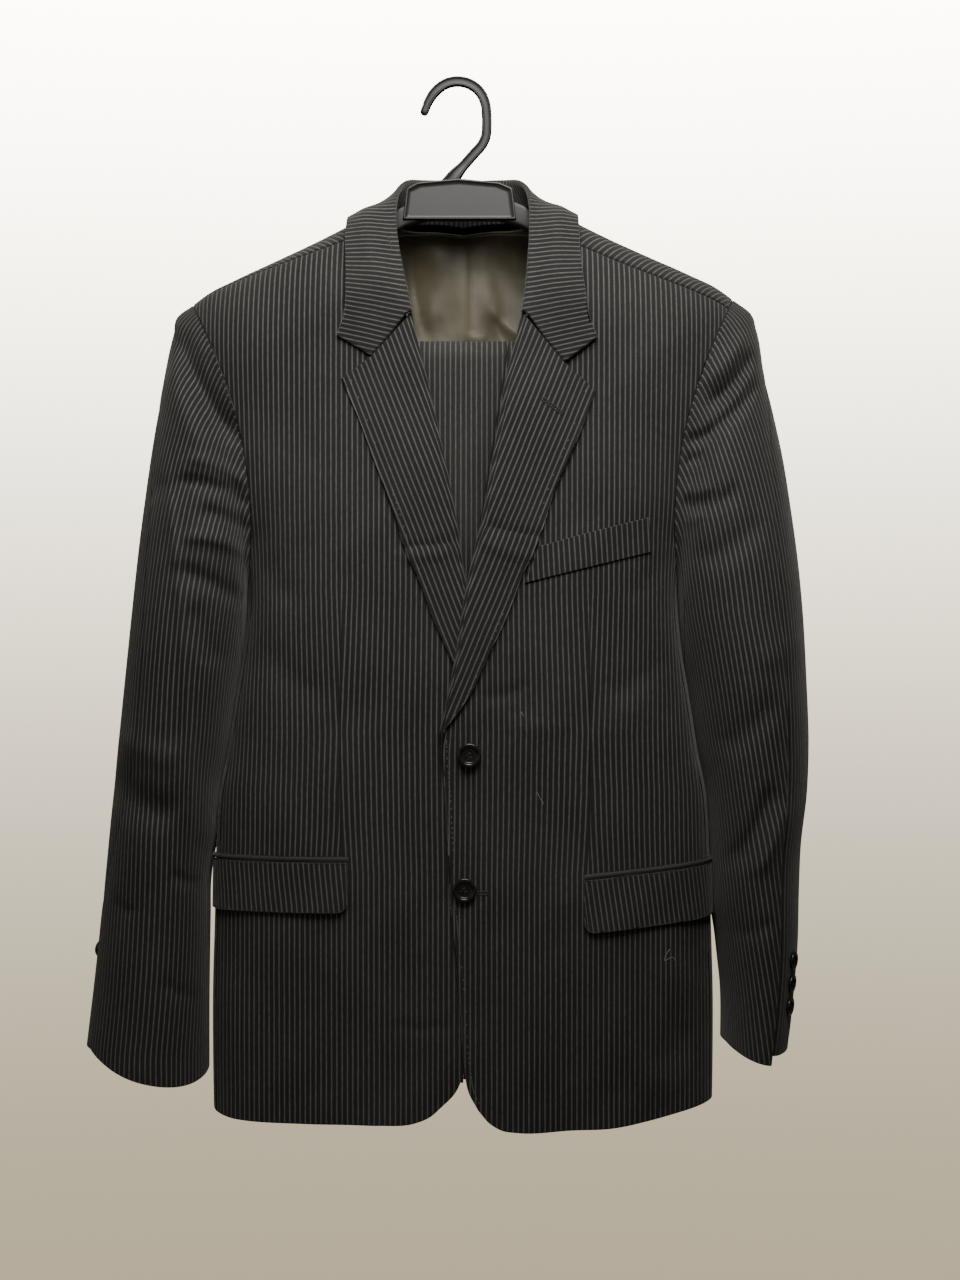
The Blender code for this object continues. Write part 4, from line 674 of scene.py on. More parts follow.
def bumped(n, shader, height, strength, distance, **more):
    values = {"Strength": strength, "Distance": distance, "Height": height, **more}
    n.put(shader.inputs["Normal"], n.add("ShaderNodeBump", values).outputs[0])


# the paler charcoal of the wear patches is partly dust and handling, partly a painted sheen
CHARCOAL, CHARCOAL_WORN_SHEEN = (0.0110, 0.0110, 0.0109, 1.0), (0.0175, 0.0174, 0.0168, 1.0)
STRIPE_GREY = (0.135, 0.134, 0.126, 1.0)
PITCH, STRIPE_WIDTH = 0.0045, 0.0011


def suiting(name, stripes=1.0, ground=CHARCOAL, worn_sheen=CHARCOAL_WORN_SHEEN):
    """Dark worsted with fine grey pinstripes, and the dark line of a dart where the piece has one."""
    made, n, shader = surface(
        name, Roughness=0.82, Sheen_Weight=0.22, Sheen_Roughness=0.45, Sheen_Tint=(0.75, 0.75, 0.73, 1.0),
        Specular_IOR_Level=0.28)
    flat = n.flat()
    dart = n.field("dart")
    intake = n.field("intake")
    across = n.plus(flat[0], n.times(n.math("SIGN", dart), intake))
    along = flat[1]
    weave = placed(n, "weave", Across=across, Along=along)
    # wear patches move the cloth towards its paler colour: dust and handling, and a painted sheen
    wear_and_sheen = placed(n, "wear_and_sheen").outputs["Patches"]
    cloth = n.blend(wear_and_sheen, ground, worn_sheen)
    cloth = n.add("ShaderNodeMix", {0: 1.0, 6: cloth, 7: n.point(*[weave.outputs["Tone"]] * 3)},
                  data_type="RGBA", blend_type="MULTIPLY").outputs[2]
    height = n.times(weave.outputs["Height"], 0.25)
    if stripes:
        stripe = placed(n, "stripe", Across=across, Along=along, Pitch=PITCH, Width=STRIPE_WIDTH)
        stripe = stripe.outputs["Mask"]
        cloth = n.blend(n.times(stripe, stripes), cloth, STRIPE_GREY)
        height = n.plus(height, n.times(stripe, 0.35))
    beside = n.ramp(n.math("ABSOLUTE", dart), 0.0003, 0.0009, 1.0, 0.0)
    sewn = n.times(beside, n.ramp(intake, 0.0, 0.0008))
    cloth = n.blend(n.times(sewn, 0.75), cloth, (0.004, 0.004, 0.004, 1.0))
    # painted shade along each seam's groove, read from the seam field
    seam = n.field("seam")
    cloth = n.blend(n.times(seam, 0.8), cloth, (0.003, 0.003, 0.003, 1.0))
    n.put(shader.inputs["Base Color"], cloth)
    puckers = n.noise(n.place(), 130.0, 2.0)
    first = n.add("ShaderNodeBump", {"Strength": 0.35, "Distance": 0.0012, "Height": puckers}).outputs[0]
    bumped(n, shader, n.math("SUBTRACT", height, n.times(sewn, 3.0)), 0.6, 0.00025, Normal=first)
    return made


def satin(name):
    """Olive lining: a smooth satin with a painted sheen that shifts its tone along its length, and soft darker
    mottled patches.
    """
    made, n, shader = surface(name, Roughness=0.42, Sheen_Weight=0.10, Specular_IOR_Level=0.45)
    flat = n.flat()
    place = n.place()
    upright = n.point(flat[0], n.times(flat[1], 0.3))
    # painted sheen: paler and darker olive in bands drawn out along the length
    painted_sheen = n.ramp(n.noise(upright, 34.0, 3.0), 0.3, 0.7)
    cloth = n.blend(n.times(painted_sheen, 0.5), (0.096, 0.082, 0.049, 1.0), (0.165, 0.145, 0.092, 1.0))
    # soft darker mottled patches in the tone and the gloss
    marks = n.ramp(n.noise(place, 19.0, 3.0, 0.55), 0.42, 0.62)
    cloth = n.blend(n.times(marks, 0.62), cloth, (0.052, 0.044, 0.028, 1.0))
    n.put(shader.inputs["Base Color"], cloth)
    n.put(shader.inputs["Roughness"], n.ramp(marks, 0.0, 1.0, 0.38, 0.52))
    threads = n.math("SINE", n.times(flat[1], 2 * math.pi / 0.0005))
    ripple = n.noise(place, 90.0, 2.0)
    bumped(n, shader, n.plus(n.times(threads, 0.1), ripple), 0.3, 0.0008)
    return made


def plastic(name, colour, roughness, grain, worn_sheen):
    """Moulded plastic: fine grain in the gloss and the height, and a paler handled film."""
    made, n, shader = surface(name, Specular_IOR_Level=0.5)
    place = n.place()
    wear_and_sheen = placed(n, "wear_and_sheen", Scale=26.0).outputs["Patches"]
    n.put(shader.inputs["Base Color"], n.blend(n.times(wear_and_sheen, 0.6), colour, worn_sheen))
    fine = n.noise(place, 2200.0, 2.0)
    n.put(shader.inputs["Roughness"], n.plus(n.times(fine, 0.12), roughness - 0.06))
    bumped(n, shader, fine, grain, 0.00008)
    return made


def thread(name, colour):
    """Twisted sewing thread."""
    made, n, shader = surface(name, Roughness=0.7, Sheen_Weight=0.3)
    place = n.place()
    twist = n.noise(place, 1500.0, 1.0)
    dark = tuple(0.55 * c for c in colour[:3]) + (1.0,)
    n.put(shader.inputs["Base Color"], n.blend(twist, dark, colour))
    bumped(n, shader, twist, 0.5, 0.0002)
    return made


LOOKS = {
    "suiting": suiting("pinstriped worsted"),
    "plain": suiting("plain worsted", stripes=0.0),
    "lining": satin("olive lining"),
    "hanger": plastic("grey hanger plastic", (0.020, 0.020, 0.019, 1.0), 0.40, 0.15,
                      (0.026, 0.025, 0.024, 1.0)),
    # the hook's own dark plastic, also laid on the arms, posts and bar as painted shade under the jacket
    "hook": plastic("dark hook plastic and painted shade", (0.006, 0.006, 0.006, 1.0), 0.46, 0.05, (0.010, 0.010, 0.009, 1.0)),
    # the jetting's paler plain cloth: partly the pinstripe running along it, partly a painted highlight on its
    # roll
    "piping_stripe_and_highlight": suiting("light worsted", stripes=0.0, ground=(0.034, 0.034, 0.033, 1.0),
                      worn_sheen=(0.050, 0.049, 0.047, 1.0)),
    # the trousers are the suit's own worsted, painted lighter than the jacket's as painted light from above in
    # the neck
    "trousers_painted_light": suiting("trouser worsted", ground=(0.021, 0.021, 0.020, 1.0), worn_sheen=(0.032, 0.032, 0.030, 1.0)),
    "button": plastic("black button", (0.008, 0.008, 0.009, 1.0), 0.20, 0.15, (0.016, 0.015, 0.015, 1.0)),
    "dark_thread": thread("dark thread", (0.010, 0.010, 0.011, 1.0)),
    "grey_thread": thread("grey thread", (0.110, 0.108, 0.100, 1.0)),
    "lint": thread("pale lint", (0.420, 0.410, 0.380, 1.0)),
}


# ---- making pieces ---------------------------------------------------------------------------------------
def finished(name, points, faces, look, replaces=(), uv=None, fields=None, under=None):
    """A piece from its points and quads, on the one body. under marks the faces of its second material."""
    mesh = bpy.data.meshes.new(name)
    mesh.from_pydata(points.reshape(-1, 3).tolist(), [], faces.tolist())
    if uv is not None:
        layer = mesh.uv_layers.new(name="cut")
        layer.data.foreach_set("uv", uv[faces.ravel()].ravel().astype(np.float32))
    for field, values in (fields or {}).items():
        made = mesh.attributes.new(field, "FLOAT", "POINT")
        made.data.foreach_set("value", values.ravel().astype(np.float32))
    mesh.materials.append(LOOKS[look])
    if under is not None:
        mesh.materials.append(LOOKS[under[0]])
        mesh.polygons.foreach_set("material_index", under[1].astype(np.int32))
    mesh.shade_smooth()
    mesh.update()
    made = bpy.data.objects.new(name, mesh)
    bpy.context.scene.collection.objects.link(made)
    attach(made, "root")
    if replaces:
        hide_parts(*replaces)
    return made


def grid_quads(rows, columns):
    index = np.arange(rows * columns).reshape(rows, columns)
    return np.stack([index[:-1, :-1], index[:-1, 1:], index[1:, 1:], index[1:, :-1]], axis=-1).reshape(-1, 4)


LEAST_CUT = 0.0105             # no piece is cut narrower than this
EDGE_STEP = 0.35               # a grid's further rows and columns lie this part of a step inside its edges
# SEAM_SHADE_FADE is how strong the painted shade of a seam's groove is on its second line
RIM_DEPTH, SEAM_SHADE_FADE = 0.6, 0.3              # the rim's ring by the wall; how dark a seam's second line is
DOME = np.linspace(0, math.pi / 2, 5)[:-1]   # the angles of the rings that round a rod's end
LEAST_RING = 0.02                            # a closing ring's size, by the bar's


def edged(grid):
    """The grid with a further row and column close inside each edge."""
    def insert(g):
        first = g[:1] * (1 - EDGE_STEP) + g[1:2] * EDGE_STEP
        last = g[-1:] * (1 - EDGE_STEP) + g[-2:-1] * EDGE_STEP
        return np.concatenate([g[:1], first, g[1:-1], last, g[-1:]])
    return insert(insert(grid).swapaxes(0, 1)).swapaxes(0, 1)


def edge_line(edge, depth):
    """The index of a grid's line at this depth inside the bottom, top, left or right edge (0 to 3)."""
    at = -1 - depth if edge % 2 else depth
    return (at, slice(None)) if edge < 2 else (slice(None), at)


def grid_normal(points, turned):
    across = np.gradient(points, axis=1)
    along = np.gradient(points, axis=0)
    return unit(np.cross(across, along)) * (-1 if turned else 1)


def measured_uv(points):
    """A flat map from the grid itself: lengths along each row from its middle, and along the middle column."""
    across = summed(np.linalg.norm(np.diff(points, axis=1), axis=-1))
    centre = round((points.shape[1] - 1) / 2)
    across = across - across[:, centre:centre + 1]
    return np.stack([across, run_of(points[:, centre])[:, None] + 0 * across], axis=-1)


def cloth(node, points, uv, edges="ffff", wall=WALL, turned=False, look="suiting", inner="lining", fields=None,
          held="hung", sink=0.0009, round_edge=0.45):
    """The cloth piece that takes a node's place: outer face, inner face one wall in, and its rim.

    edges names the bottom, top, left and right edge: s is a seam, whose outer face sinks a little to form a
    groove with its neighbour's and whose seam field paints the groove's shade, and f a free edge, whose rim
    is rounded by a ring of points at half the wall.
    """
    stack = np.concatenate([points, uv] + [f[..., None] for f in (fields or {}).values()], axis=-1)
    stack = edged(stack)
    points, uv = stack[..., :3].copy(), stack[..., 3:5]
    values = {key: stack[..., 5 + k] for k, key in enumerate(fields or {})}
    rows, columns = points.shape[:2]
    values.setdefault("dart", np.ones((rows, columns)))
    values.setdefault("intake", np.zeros((rows, columns)))
    seam, sinking, inward = np.zeros((rows, columns)), np.zeros((rows, columns)), np.zeros_like(points)
    normal = grid_normal(points, turned)
    for k, kind in enumerate(edges):
        edge, second, third = (edge_line(k, depth) for depth in range(3))
        if kind == "f":
            inward[edge] += unit(points[third] - points[edge])
        elif kind == "s":
            sinking[edge] = sink
            seam[second] = np.maximum(seam[second], SEAM_SHADE_FADE)
            seam[edge] = 1.0
    # the seam field is painted shade of the groove: full at the edge, fainter on the second line
    values["seam"] = seam
    outer = points + inward * wall * round_edge - normal * sinking[..., None]
    inside = points - normal * wall + inward * wall * round_edge
    ring = points - normal * wall * RIM_DEPTH
    index = np.arange(rows * columns).reshape(rows, columns)
    rim = np.concatenate([index[0], index[1:, -1], index[-1, -2::-1], index[-2:0:-1, 0]])
    count = rows * columns
    middle = 2 * count + np.arange(len(rim))
    after, middle_after = np.roll(rim, -1), np.roll(middle, -1)
    face = grid_quads(rows, columns)
    upper = np.stack([after, rim, middle, middle_after], axis=-1)
    lower = np.stack([middle_after, middle, rim + count, after + count], axis=-1)
    quads = np.concatenate([face, upper, lower, face[:, ::-1] + count])
    if turned:
        quads = quads[:, ::-1]
    all_points = np.concatenate([outer.reshape(-1, 3), inside.reshape(-1, 3), ring.reshape(-1, 3)[rim]])
    flat_uv = uv.reshape(-1, 2)
    all_uv = np.concatenate([flat_uv, flat_uv, flat_uv[rim]])
    all_fields = {key: np.concatenate([v.ravel(), v.ravel(), v.ravel()[rim]]) for key, v in values.items()}
    under = np.zeros(len(quads), int)
    under[len(face) + 2 * len(rim):] = 1
    made = finished(node + "_cloth", all_points, quads, look, [node], all_uv, all_fields, (inner, under))
    across = np.cross(points[1:, :-1] - points[:-1, :-1], points[:-1, 1:] - points[:-1, :-1])
    area = float(np.linalg.norm(across, axis=-1).sum())
    wide, long = (float(uv[..., k].max() - uv[..., k].min()) for k in (0, 1))
    wide, long = max(wide, LEAST_CUT), max(long, LEAST_CUT)
    share = area / (wide * long)
    if share > 1:
        wide, long = wide * math.sqrt(share), long * math.sqrt(share)


def tube(path, radius, sides=16, shape=None):
    """Points and quads of a rod carried along a path, round or of a unit shape; the ends are domed."""
    path = np.asarray(path, float)
    ahead = unit(np.gradient(path, axis=0))
    radii = np.broadcast_to(radius, (len(path),)).astype(float)
    start = path[0] - ahead[0] * radii[0] * np.cos(DOME)[:, None]
    end = (path[-1] + ahead[-1] * radii[-1] * np.cos(DOME)[:, None])[::-1]
    path = np.concatenate([start, path, end])
    ahead = ahead[np.clip(np.arange(-len(DOME), len(ahead) + len(DOME)), 0, len(ahead) - 1)]
    caps = np.maximum(np.sin(DOME), LEAST_RING)
    radii = np.concatenate([radii[0] * caps, radii, (radii[-1] * caps)[::-1]])
    up = Y_AXIS if abs(ahead[:, 1]).max() < 0.9 else Z_AXIS
    across = unit(np.cross(ahead, up))
    other = np.cross(across, ahead)
    turn = np.linspace(0, 2 * math.pi, sides, endpoint=False)
    shape = np.stack([np.cos(turn), np.sin(turn)], axis=1) if shape is None else shape
    ring = shape[None, :, :1] * across[:, None] + shape[None, :, 1:] * other[:, None]
    points = path[:, None] + ring * radii[:, None, None]
    return points.reshape(-1, 3), ring_quads(len(path), sides)


def ring_quads(rings, sides, capped=True):
    """Quads between closed rings of points, and a fan of quads over the first and the last ring."""
    index = np.arange(rings * sides).reshape(rings, sides)
    after = np.roll(index, -1, axis=1)
    quads = np.stack([index[:-1], after[:-1], after[1:], index[1:]], axis=-1).reshape(-1, 4)
    if not capped:
        return quads
    k = np.arange(1, sides // 2)
    far, further = (sides - k) % sides, sides - k - 1
    first = np.stack([index[0, j] for j in (k, k - 1, far, further)], axis=-1)
    last = np.stack([index[-1, j] for j in (k - 1, k, further, far)], axis=-1)
    return np.concatenate([quads, first, last])


def joined(parts):
    """Several (points, quads) as one."""
    points = np.concatenate([p for p, _ in parts])
    starts = np.cumsum([0] + [len(p) for p, _ in parts[:-1]])
    return points, np.concatenate([q + s for (_, q), s in zip(parts, starts)])


STUD_RINGS, STUD_SIDES, STUD_POLE = 6, 8, 0.12          # the first ring lies so many radians from the end


def squared(sides, power):
    """The points of a squared round of unit size, as two rows."""
    turn = np.linspace(0, 2 * math.pi, sides, endpoint=False)
    return np.array([np.sign(v) * np.abs(v) ** power for v in (np.cos(turn), np.sin(turn))])


def studs(centres, along, normal, length, width, height):
    """Small rounded stitches or fibres, one at each centre: ellipsoids with these three sizes."""
    across = unit(np.cross(normal, along))
    turn = np.linspace(0, 2 * math.pi, STUD_SIDES, endpoint=False)
    tall = np.linspace(STUD_POLE, math.pi - STUD_POLE, STUD_RINGS)
    ball = np.stack([np.cos(tall)[:, None] + 0 * turn, np.sin(tall)[:, None] * np.cos(turn),
                     np.sin(tall)[:, None] * np.sin(turn)], axis=-1).reshape(-1, 3)
    lengths = np.broadcast_to(length, (len(centres),))[:, None, None]
    points = (centres[:, None] + ball[None, :, :1] * lengths / 2 * along[:, None]
              + ball[None, :, 1:2] * width / 2 * across[:, None]
              + ball[None, :, 2:] * height / 2 * normal[:, None])
    quads = ring_quads(STUD_RINGS, STUD_SIDES)
    starts = np.arange(len(centres))[:, None, None] * len(ball)
    return points.reshape(-1, 3), (quads[None] + starts).reshape(-1, 4)


# ---- the jacket's panels ---------------------------------------------------------------------------------
FINE = 9                       # this many steps for each step of the solids' grids
FRONT_COLUMNS, BACK_HALF_COLUMNS, SIDE_COLUMNS = 10 * FINE, 4 * FINE, 4 * FINE
SIDE_ROWS, ARMHOLE_ROWS = 14 * FINE, 8 * FINE
UNDER_ANGLES = np.linspace(SIDE_ANGLE, 360 - SIDE_ANGLE, SIDE_COLUMNS + 1)
ROLL_ROOM, ROLL_LOW, GORGE_LOW = 0.0024, -0.575, -0.2400      # room for the lapel's roll, from the break up
SEAM = 0.00005                 # half of the gap that shows at a seam
DART = {LEFT: 0.1070, RIGHT: -0.1025}
DART_INTAKE = table("z width", [
    (-0.680, 0.0), (-0.640, 0.0050), (-0.560, 0.0100), (-0.480, 0.0030), (-0.440, 0.0),
])
DART_SPREAD = 0.060


def as_plane(x, z, facing):
    return np.stack([x, over_of(x, z, facing)], axis=-1)


def hem_height(side, part, facing):
    if facing < 0:
        return HEM_BACK[side]
    x = column(BODY, "half", -0.88) * np.interp(part, UNIT_RUN, UNIT_X)
    return float(curve(np.abs(HEM[side]["x"]), HEM[side]["z"], x))


def side_seam(side, facing):
    """The seam up to the armhole, in front (1) or behind (-1) of the side, as girth part and height."""
    x, z, _ = armhole(side, facing * SIDE_ANGLE)
    part = np.linspace(SIDE_SEAM_HEM, girth_of(x, z), SIDE_ROWS + 1)
    return part, np.linspace(hem_height(side, SIDE_SEAM_HEM, facing), float(z), SIDE_ROWS + 1)


def outer_edge(side, facing):
    """A panel's outer edge: up the side seam, then up the armhole."""
    angles = np.linspace(facing * SIDE_ANGLE, SHOULDER_ANGLE[side], ARMHOLE_ROWS + 1)
    part, z = side_seam(side, facing)
    x = side * column(BODY, "half", z) * np.interp(part, UNIT_RUN, UNIT_X)
    hole_x, _, hole_over = armhole(side, angles)
    return np.concatenate([as_plane(x, z, facing)[:-1], np.stack([hole_x, hole_over], axis=-1)])


def end_shift(side, stations):
    return COLLAR_END[side] * smooth((np.asarray(stations, float) - END_FROM) / 4)


def collar_line(side, which, stations):
    """The collar's seam or leaf edge on the body, as (x, distance over the ridge), at these stations."""
    x = column(COLLAR, which + "_x", stations, "at") + end_shift(side, stations)
    return np.stack([side * x, column(COLLAR, which + "_over", stations, "at")], axis=-1)


def shoulder_seam(side, count):
    """From the neck point to the armhole, in the plane of the patches."""
    neck = collar_line(side, "seam", np.array([NECK_POINT[side]]))[0]
    x, _, over = armhole(side, SHOULDER_ANGLE[side])
    return np.linspace(neck, (float(x), float(over)), count)


def drawn_in(points, gaps):
    """A grid of points with its four edges (bottom, top, left, right) drawn in by these gaps."""
    out = points.copy()
    for k, gap in enumerate(gaps):
        edge, inner = edge_line(k, 0), edge_line(k, 1)
        out[edge] += gap * unit(out[inner] - out[edge])
    return out


def front_plane(side):
    """The layout of a front: rows from the hem to the shoulder, columns from the front edge to the side."""
    rows = SIDE_ROWS + ARMHOLE_ROWS + 1
    edge = smooth_line(FRONT_EDGE[side], 600)
    edge = as_plane(edge[:, 0], edge[:, 1], 1)
    gorge = collar_line(side, "seam", np.linspace(7.4, NECK_POINT[side], 60))
    inner = resample(np.concatenate([edge, gorge]), rows)
    outer = outer_edge(side, 1)
    hem = smooth_line(HEM[side], 600)
    hem = hem[np.abs(hem[:, 0]) < abs(outer[0, 0]) - 0.002]
    hem = np.concatenate([as_plane(hem[:, 0], hem[:, 1], 1), outer[:1]])
    bottom = resample(hem, FRONT_COLUMNS + 1)
    bottom[0] = inner[0]
    return patch(bottom, shoulder_seam(side, FRONT_COLUMNS + 1), inner, outer)


def make_front(side):
    plane = front_plane(side)
    x, over = plane[..., 0], plane[..., 1]
    points = front_form(side, x, over)
    roll_room = ROLL_ROOM * (1 + smooth((points[:, :1, 2] - GORGE_LOW) / 0.05))
    roll_room = roll_room * smooth((points[:, :1, 2] - ROLL_LOW) / 0.02)
    points = drawn_in(points, (0.0, SEAM, 0.0, SEAM))
    shift = np.array([side, 0, 0]) * roll_room[..., None]
    fade = np.clip(1 - np.arange(points.shape[1]) / 6, 0, 1)[None, :, None]
    points = points + shift * fade
    z = points[..., 2]
    run = section_run(x, z, 1)
    offset = side * (run - section_run(np.array(DART[side]) + 0 * z, z, 1))
    intake = 0.5 * np.interp(z, DART_INTAKE["z"], DART_INTAKE["width"]) * np.exp(-np.abs(offset) / DART_SPREAD)
    uv = np.stack([run, -over], axis=-1)
    fields = {"dart": offset * side, "intake": intake}
    cloth(f"front_{FACING[side]}", points, uv, "fsfs", turned=side < 0, fields=fields)


SHOULDER_LEAN = 0.42           # how far the back's stripes lean outward where it comes over the shoulder
NECK_SHARE = 0.012             # the part of the back's length that keeps the columns of its neck edge


def make_back(side):
    columns = 2 * BACK_HALF_COLUMNS + 1
    neck = collar_line(side, "seam", np.linspace(0, NECK_POINT[side], 80))
    shoulder = shoulder_seam(side, BACK_HALF_COLUMNS + 1)
    top = np.concatenate([resample(neck, BACK_HALF_COLUMNS + 1)[:-1], shoulder])
    outer = outer_edge(side, -1)
    hem_over = float(over_of(0.0, HEM_BACK[side], -1))
    inner = np.linspace((0.0, hem_over), top[0], len(outer))
    bottom = np.stack([np.linspace(0.0, outer[0, 0], columns), np.full(columns, 0.0)], axis=1)
    bottom[:, 1] = over_of(bottom[:, 0], HEM_BACK[side], -1)
    plane = patch(bottom, top, inner, outer)
    x, over = plane[..., 0], plane[..., 1]
    part, share = np.linspace(0, 1, len(x))[:, None], np.linspace(0, 1, columns)[None, :]
    level = side * np.sort(side * top[:, 0]) * part + bottom[:, 0] * (1 - part)
    level = level + (x[:, -1:] - level[:, -1:]) * share**3     # below the neck no column folds over the next
    x = x + (level - x) * smooth((1 - part) / NECK_SHARE)
    points = drawn_in(back_form(x, over), (0.0, SEAM, SEAM, SEAM))
    lean = SHOULDER_LEAN * side * np.maximum(over + 0.02, 0.0)
    uv = np.stack([section_run(x, points[..., 2], -1) + lean, over], axis=-1)
    cloth(f"back_{FACING[side]}", points, uv, "fsss", turned=side > 0)


def make_side(side):
    front, z = side_seam(side, 1)
    back, z_back = side_seam(side, -1)
    hole_x, hole_z, _ = armhole(side, UNDER_ANGLES)
    part = girth_of(hole_x, hole_z)
    top = np.stack([np.where(UNDER_ANGLES > 180, 2 - part, part), hole_z], axis=-1)
    bottom = np.linspace((front[0], z[0]), (2 - back[0], z_back[0]), SIDE_COLUMNS + 1)
    plane = patch(bottom, top, np.stack([front, z], axis=-1), np.stack([2 - back, z_back], axis=-1))
    points = drawn_in(side_form(side, plane[..., 0], plane[..., 1]), (0.0, SEAM, SEAM, SEAM))
    cloth(f"side_{FACING[side]}", points, measured_uv(points), "fsss", turned=side < 0)


# ---- the sleeves -----------------------------------------------------------------------------------------
SLEEVE_ROWS, UPPER_COLUMNS, UNDER_COLUMNS = 196, 94, 76
HIND_STEP, CUFF_STEP = 0.0016, {LEFT: 0.008, RIGHT: 0.0}     # how far the under piece lies in, and ends higher
ROW_POWER, STEP_WIDTH = 1.15, 0.04           # rows crowd at the sleeve's head; the hind step's width
GRAIN_FROM, GRAIN_SLOPE = -0.46, 0.14        # below this height the left sleeve's stripes leave its outline


def grain_shift(side, z):
    """How far an upper sleeve's stripes have come away from its outermost line at height z."""
    if side == RIGHT:
        return 0 * z
    straight = column(SLEEVE_OUT[side], "x", np.maximum(z, GRAIN_FROM))
    straight = straight + GRAIN_SLOPE * np.maximum(GRAIN_FROM - z, 0)
    return column(SLEEVE_OUT[side], "x", z) - straight


def make_sleeve(side, which):
    """One piece of a sleeve, between its hind and its inside seam."""
    w = np.linspace(0, 1, SLEEVE_ROWS + 1)[:, None] ** ROW_POWER
    hind, inside = (column(SLEEVE[side], name, w, "w") for name in ("hind", "inside"))
    ends = (hind, inside) if which == "upper" else (inside, hind + 360)
    columns = UPPER_COLUMNS if which == "upper" else UNDER_COLUMNS
    angle = ends[0] + (ends[1] - ends[0]) * np.linspace(0, 1, columns + 1)[None, :]
    points = drawn_in(sleeve(side, angle, w + 0 * angle), (SEAM, 0.0, SEAM, SEAM))
    z = points[..., 2]
    if which == "upper":
        run = sleeve_run(side, angle, z) - grain_shift(side, z)
    else:
        run = sleeve_run(side, angle - 360, z) + PITCH / 2
        share = np.linspace(0, 1, columns + 1)[None, :]
        sunk = HIND_STEP * np.exp((share - 1) / STEP_WIDTH)
        points = points - grid_normal(points, side < 0) * sunk[..., None]
        points[..., 2] += CUFF_STEP[side] * smooth((w - 0.95) / 0.05) * smooth((share - 0.5) / 0.25)
    uv = np.stack([-side * run, z], axis=-1)
    cloth(f"{which}_sleeve_{FACING[side]}", points, uv, "sfss", turned=side < 0)


# ---- lapels and collar -----------------------------------------------------------------------------------
LAPEL_ROWS, LAPEL_COLUMNS = 132, 40
LAPEL_BELLY = 0.0016           # how far a lapel rises clear of the front between its roll and its edge
ROLL_STEPS, ROLL_IN, ROLL_SPARE = 9, 0.0012, 0.0003     # how far the roll is drawn in, and its spare radius


def lapel_plane(side):
    """The layout of a lapel: rows from the break to the gorge, columns from the roll to the outer edge."""
    edge = smooth_line(FRONT_EDGE[side], 900)
    start = np.array([LAPEL_EDGE[side]["x"][0], LAPEL_EDGE[side]["z"][0]])
    roll = resample(edge[edge[:, 1] > start[1]], LAPEL_ROWS + 1)
    outer = smooth_line(LAPEL_EDGE[side], LAPEL_ROWS + 1)
    corner = round(LAPEL_COLUMNS * 0.6)
    top = np.concatenate([np.linspace(roll[-1], NOTCH[side], corner + 1)[:-1],
                          np.linspace(NOTCH[side], outer[-1], LAPEL_COLUMNS + 1 - corner)])
    bottom = np.linspace(roll[0], outer[0], LAPEL_COLUMNS + 1)
    return patch(bottom, top, roll, outer)


def lapel_uv(side, x, z):
    """Stripes parallel to the lapel's outer edge: U is the distance from the edge's chord."""
    edge = LAPEL_EDGE[side]
    low = np.array([edge["x"][2], edge["z"][2]])
    high = np.array([edge["x"][-1], edge["z"][-1]])
    way = (high - low) / np.linalg.norm(high - low)
    across = (x - low[0]) * way[1] - (z - low[1]) * way[0]
    along = (x - low[0]) * way[0] + (z - low[1]) * way[1]
    return np.stack([across, along], axis=-1)


def lapel_points(side):
    """The lapel: a roll about the front's edge, a soft belly, and an outer edge that lies close."""
    plane = lapel_plane(side)
    x, z = plane[..., 0], plane[..., 1]
    over = over_of(x, z, 1)
    form = functools.partial(front_form, side)
    share = np.linspace(0, 1, x.shape[1])[None, :]
    narrow = smooth(np.linspace(0, 1, x.shape[0]) / 0.25)[:, None]
    lift = LAPEL_LIFT[side] + WALL + LAPEL_BELLY * np.sin(math.pi * share**0.6) * narrow
    points = moved_out(form, x, over, lift)
    radius = (LAPEL_LIFT[side] + 2 * WALL) / 2 + ROLL_SPARE
    turn = np.linspace(-0.45 * math.pi, 0.5 * math.pi, ROLL_STEPS + 1)[:-1][None, :, None]
    normal = normal_of(form, x[:, :1], over[:, :1])
    centre = points[:, :1] - normal * radius
    sideways = np.array([side, 0.0, 0.0])
    shift = sideways * (radius - ROLL_IN)
    roll = centre + radius * (np.sin(turn) * normal - np.cos(turn) * sideways) + shift
    points[:, :3] += shift * np.array([1.0, 0.5, 0.15])[None, :, None]
    return np.concatenate([roll, points], axis=1), x, z


def make_lapel(side):
    points, x, z = lapel_points(side)
    uv = lapel_uv(side, x, z)
    behind = uv[:, :1] + 0 * points[:, :ROLL_STEPS, :2]
    lengths = np.linalg.norm(np.diff(points[:, :ROLL_STEPS + 1], axis=1), axis=-1)
    run = np.cumsum(lengths[:, ::-1], axis=1)[:, ::-1]
    behind[..., 0] = uv[:, :1, 0] - side * run
    uv = np.concatenate([behind, uv], axis=1)
    points = drawn_in(points, (0.0, 0.0002, 0.0, 0.0))
    cloth(f"lapel_{FACING[side]}", points, uv, "fsff", 0.0016, side < 0, inner="plain", held="folded",
          sink=0.0004)


COLLAR_STEPS, COLLAR_COLUMNS = 96, (5, 5, 2, 2, 8, 9, 9)
STAND_PARTS, LEAF_PARTS = (0.0, 0.5, 0.93), (0.06, 0.34, 0.67, 1.0)
LEAF_LIFT, STAND_START = 0.0052, 0.0052
GORGE_LIFT, GORGE_LAP = {LEFT: 0.0030, RIGHT: 0.0017}, 0.0006    # the leaf is flush with the lapel there


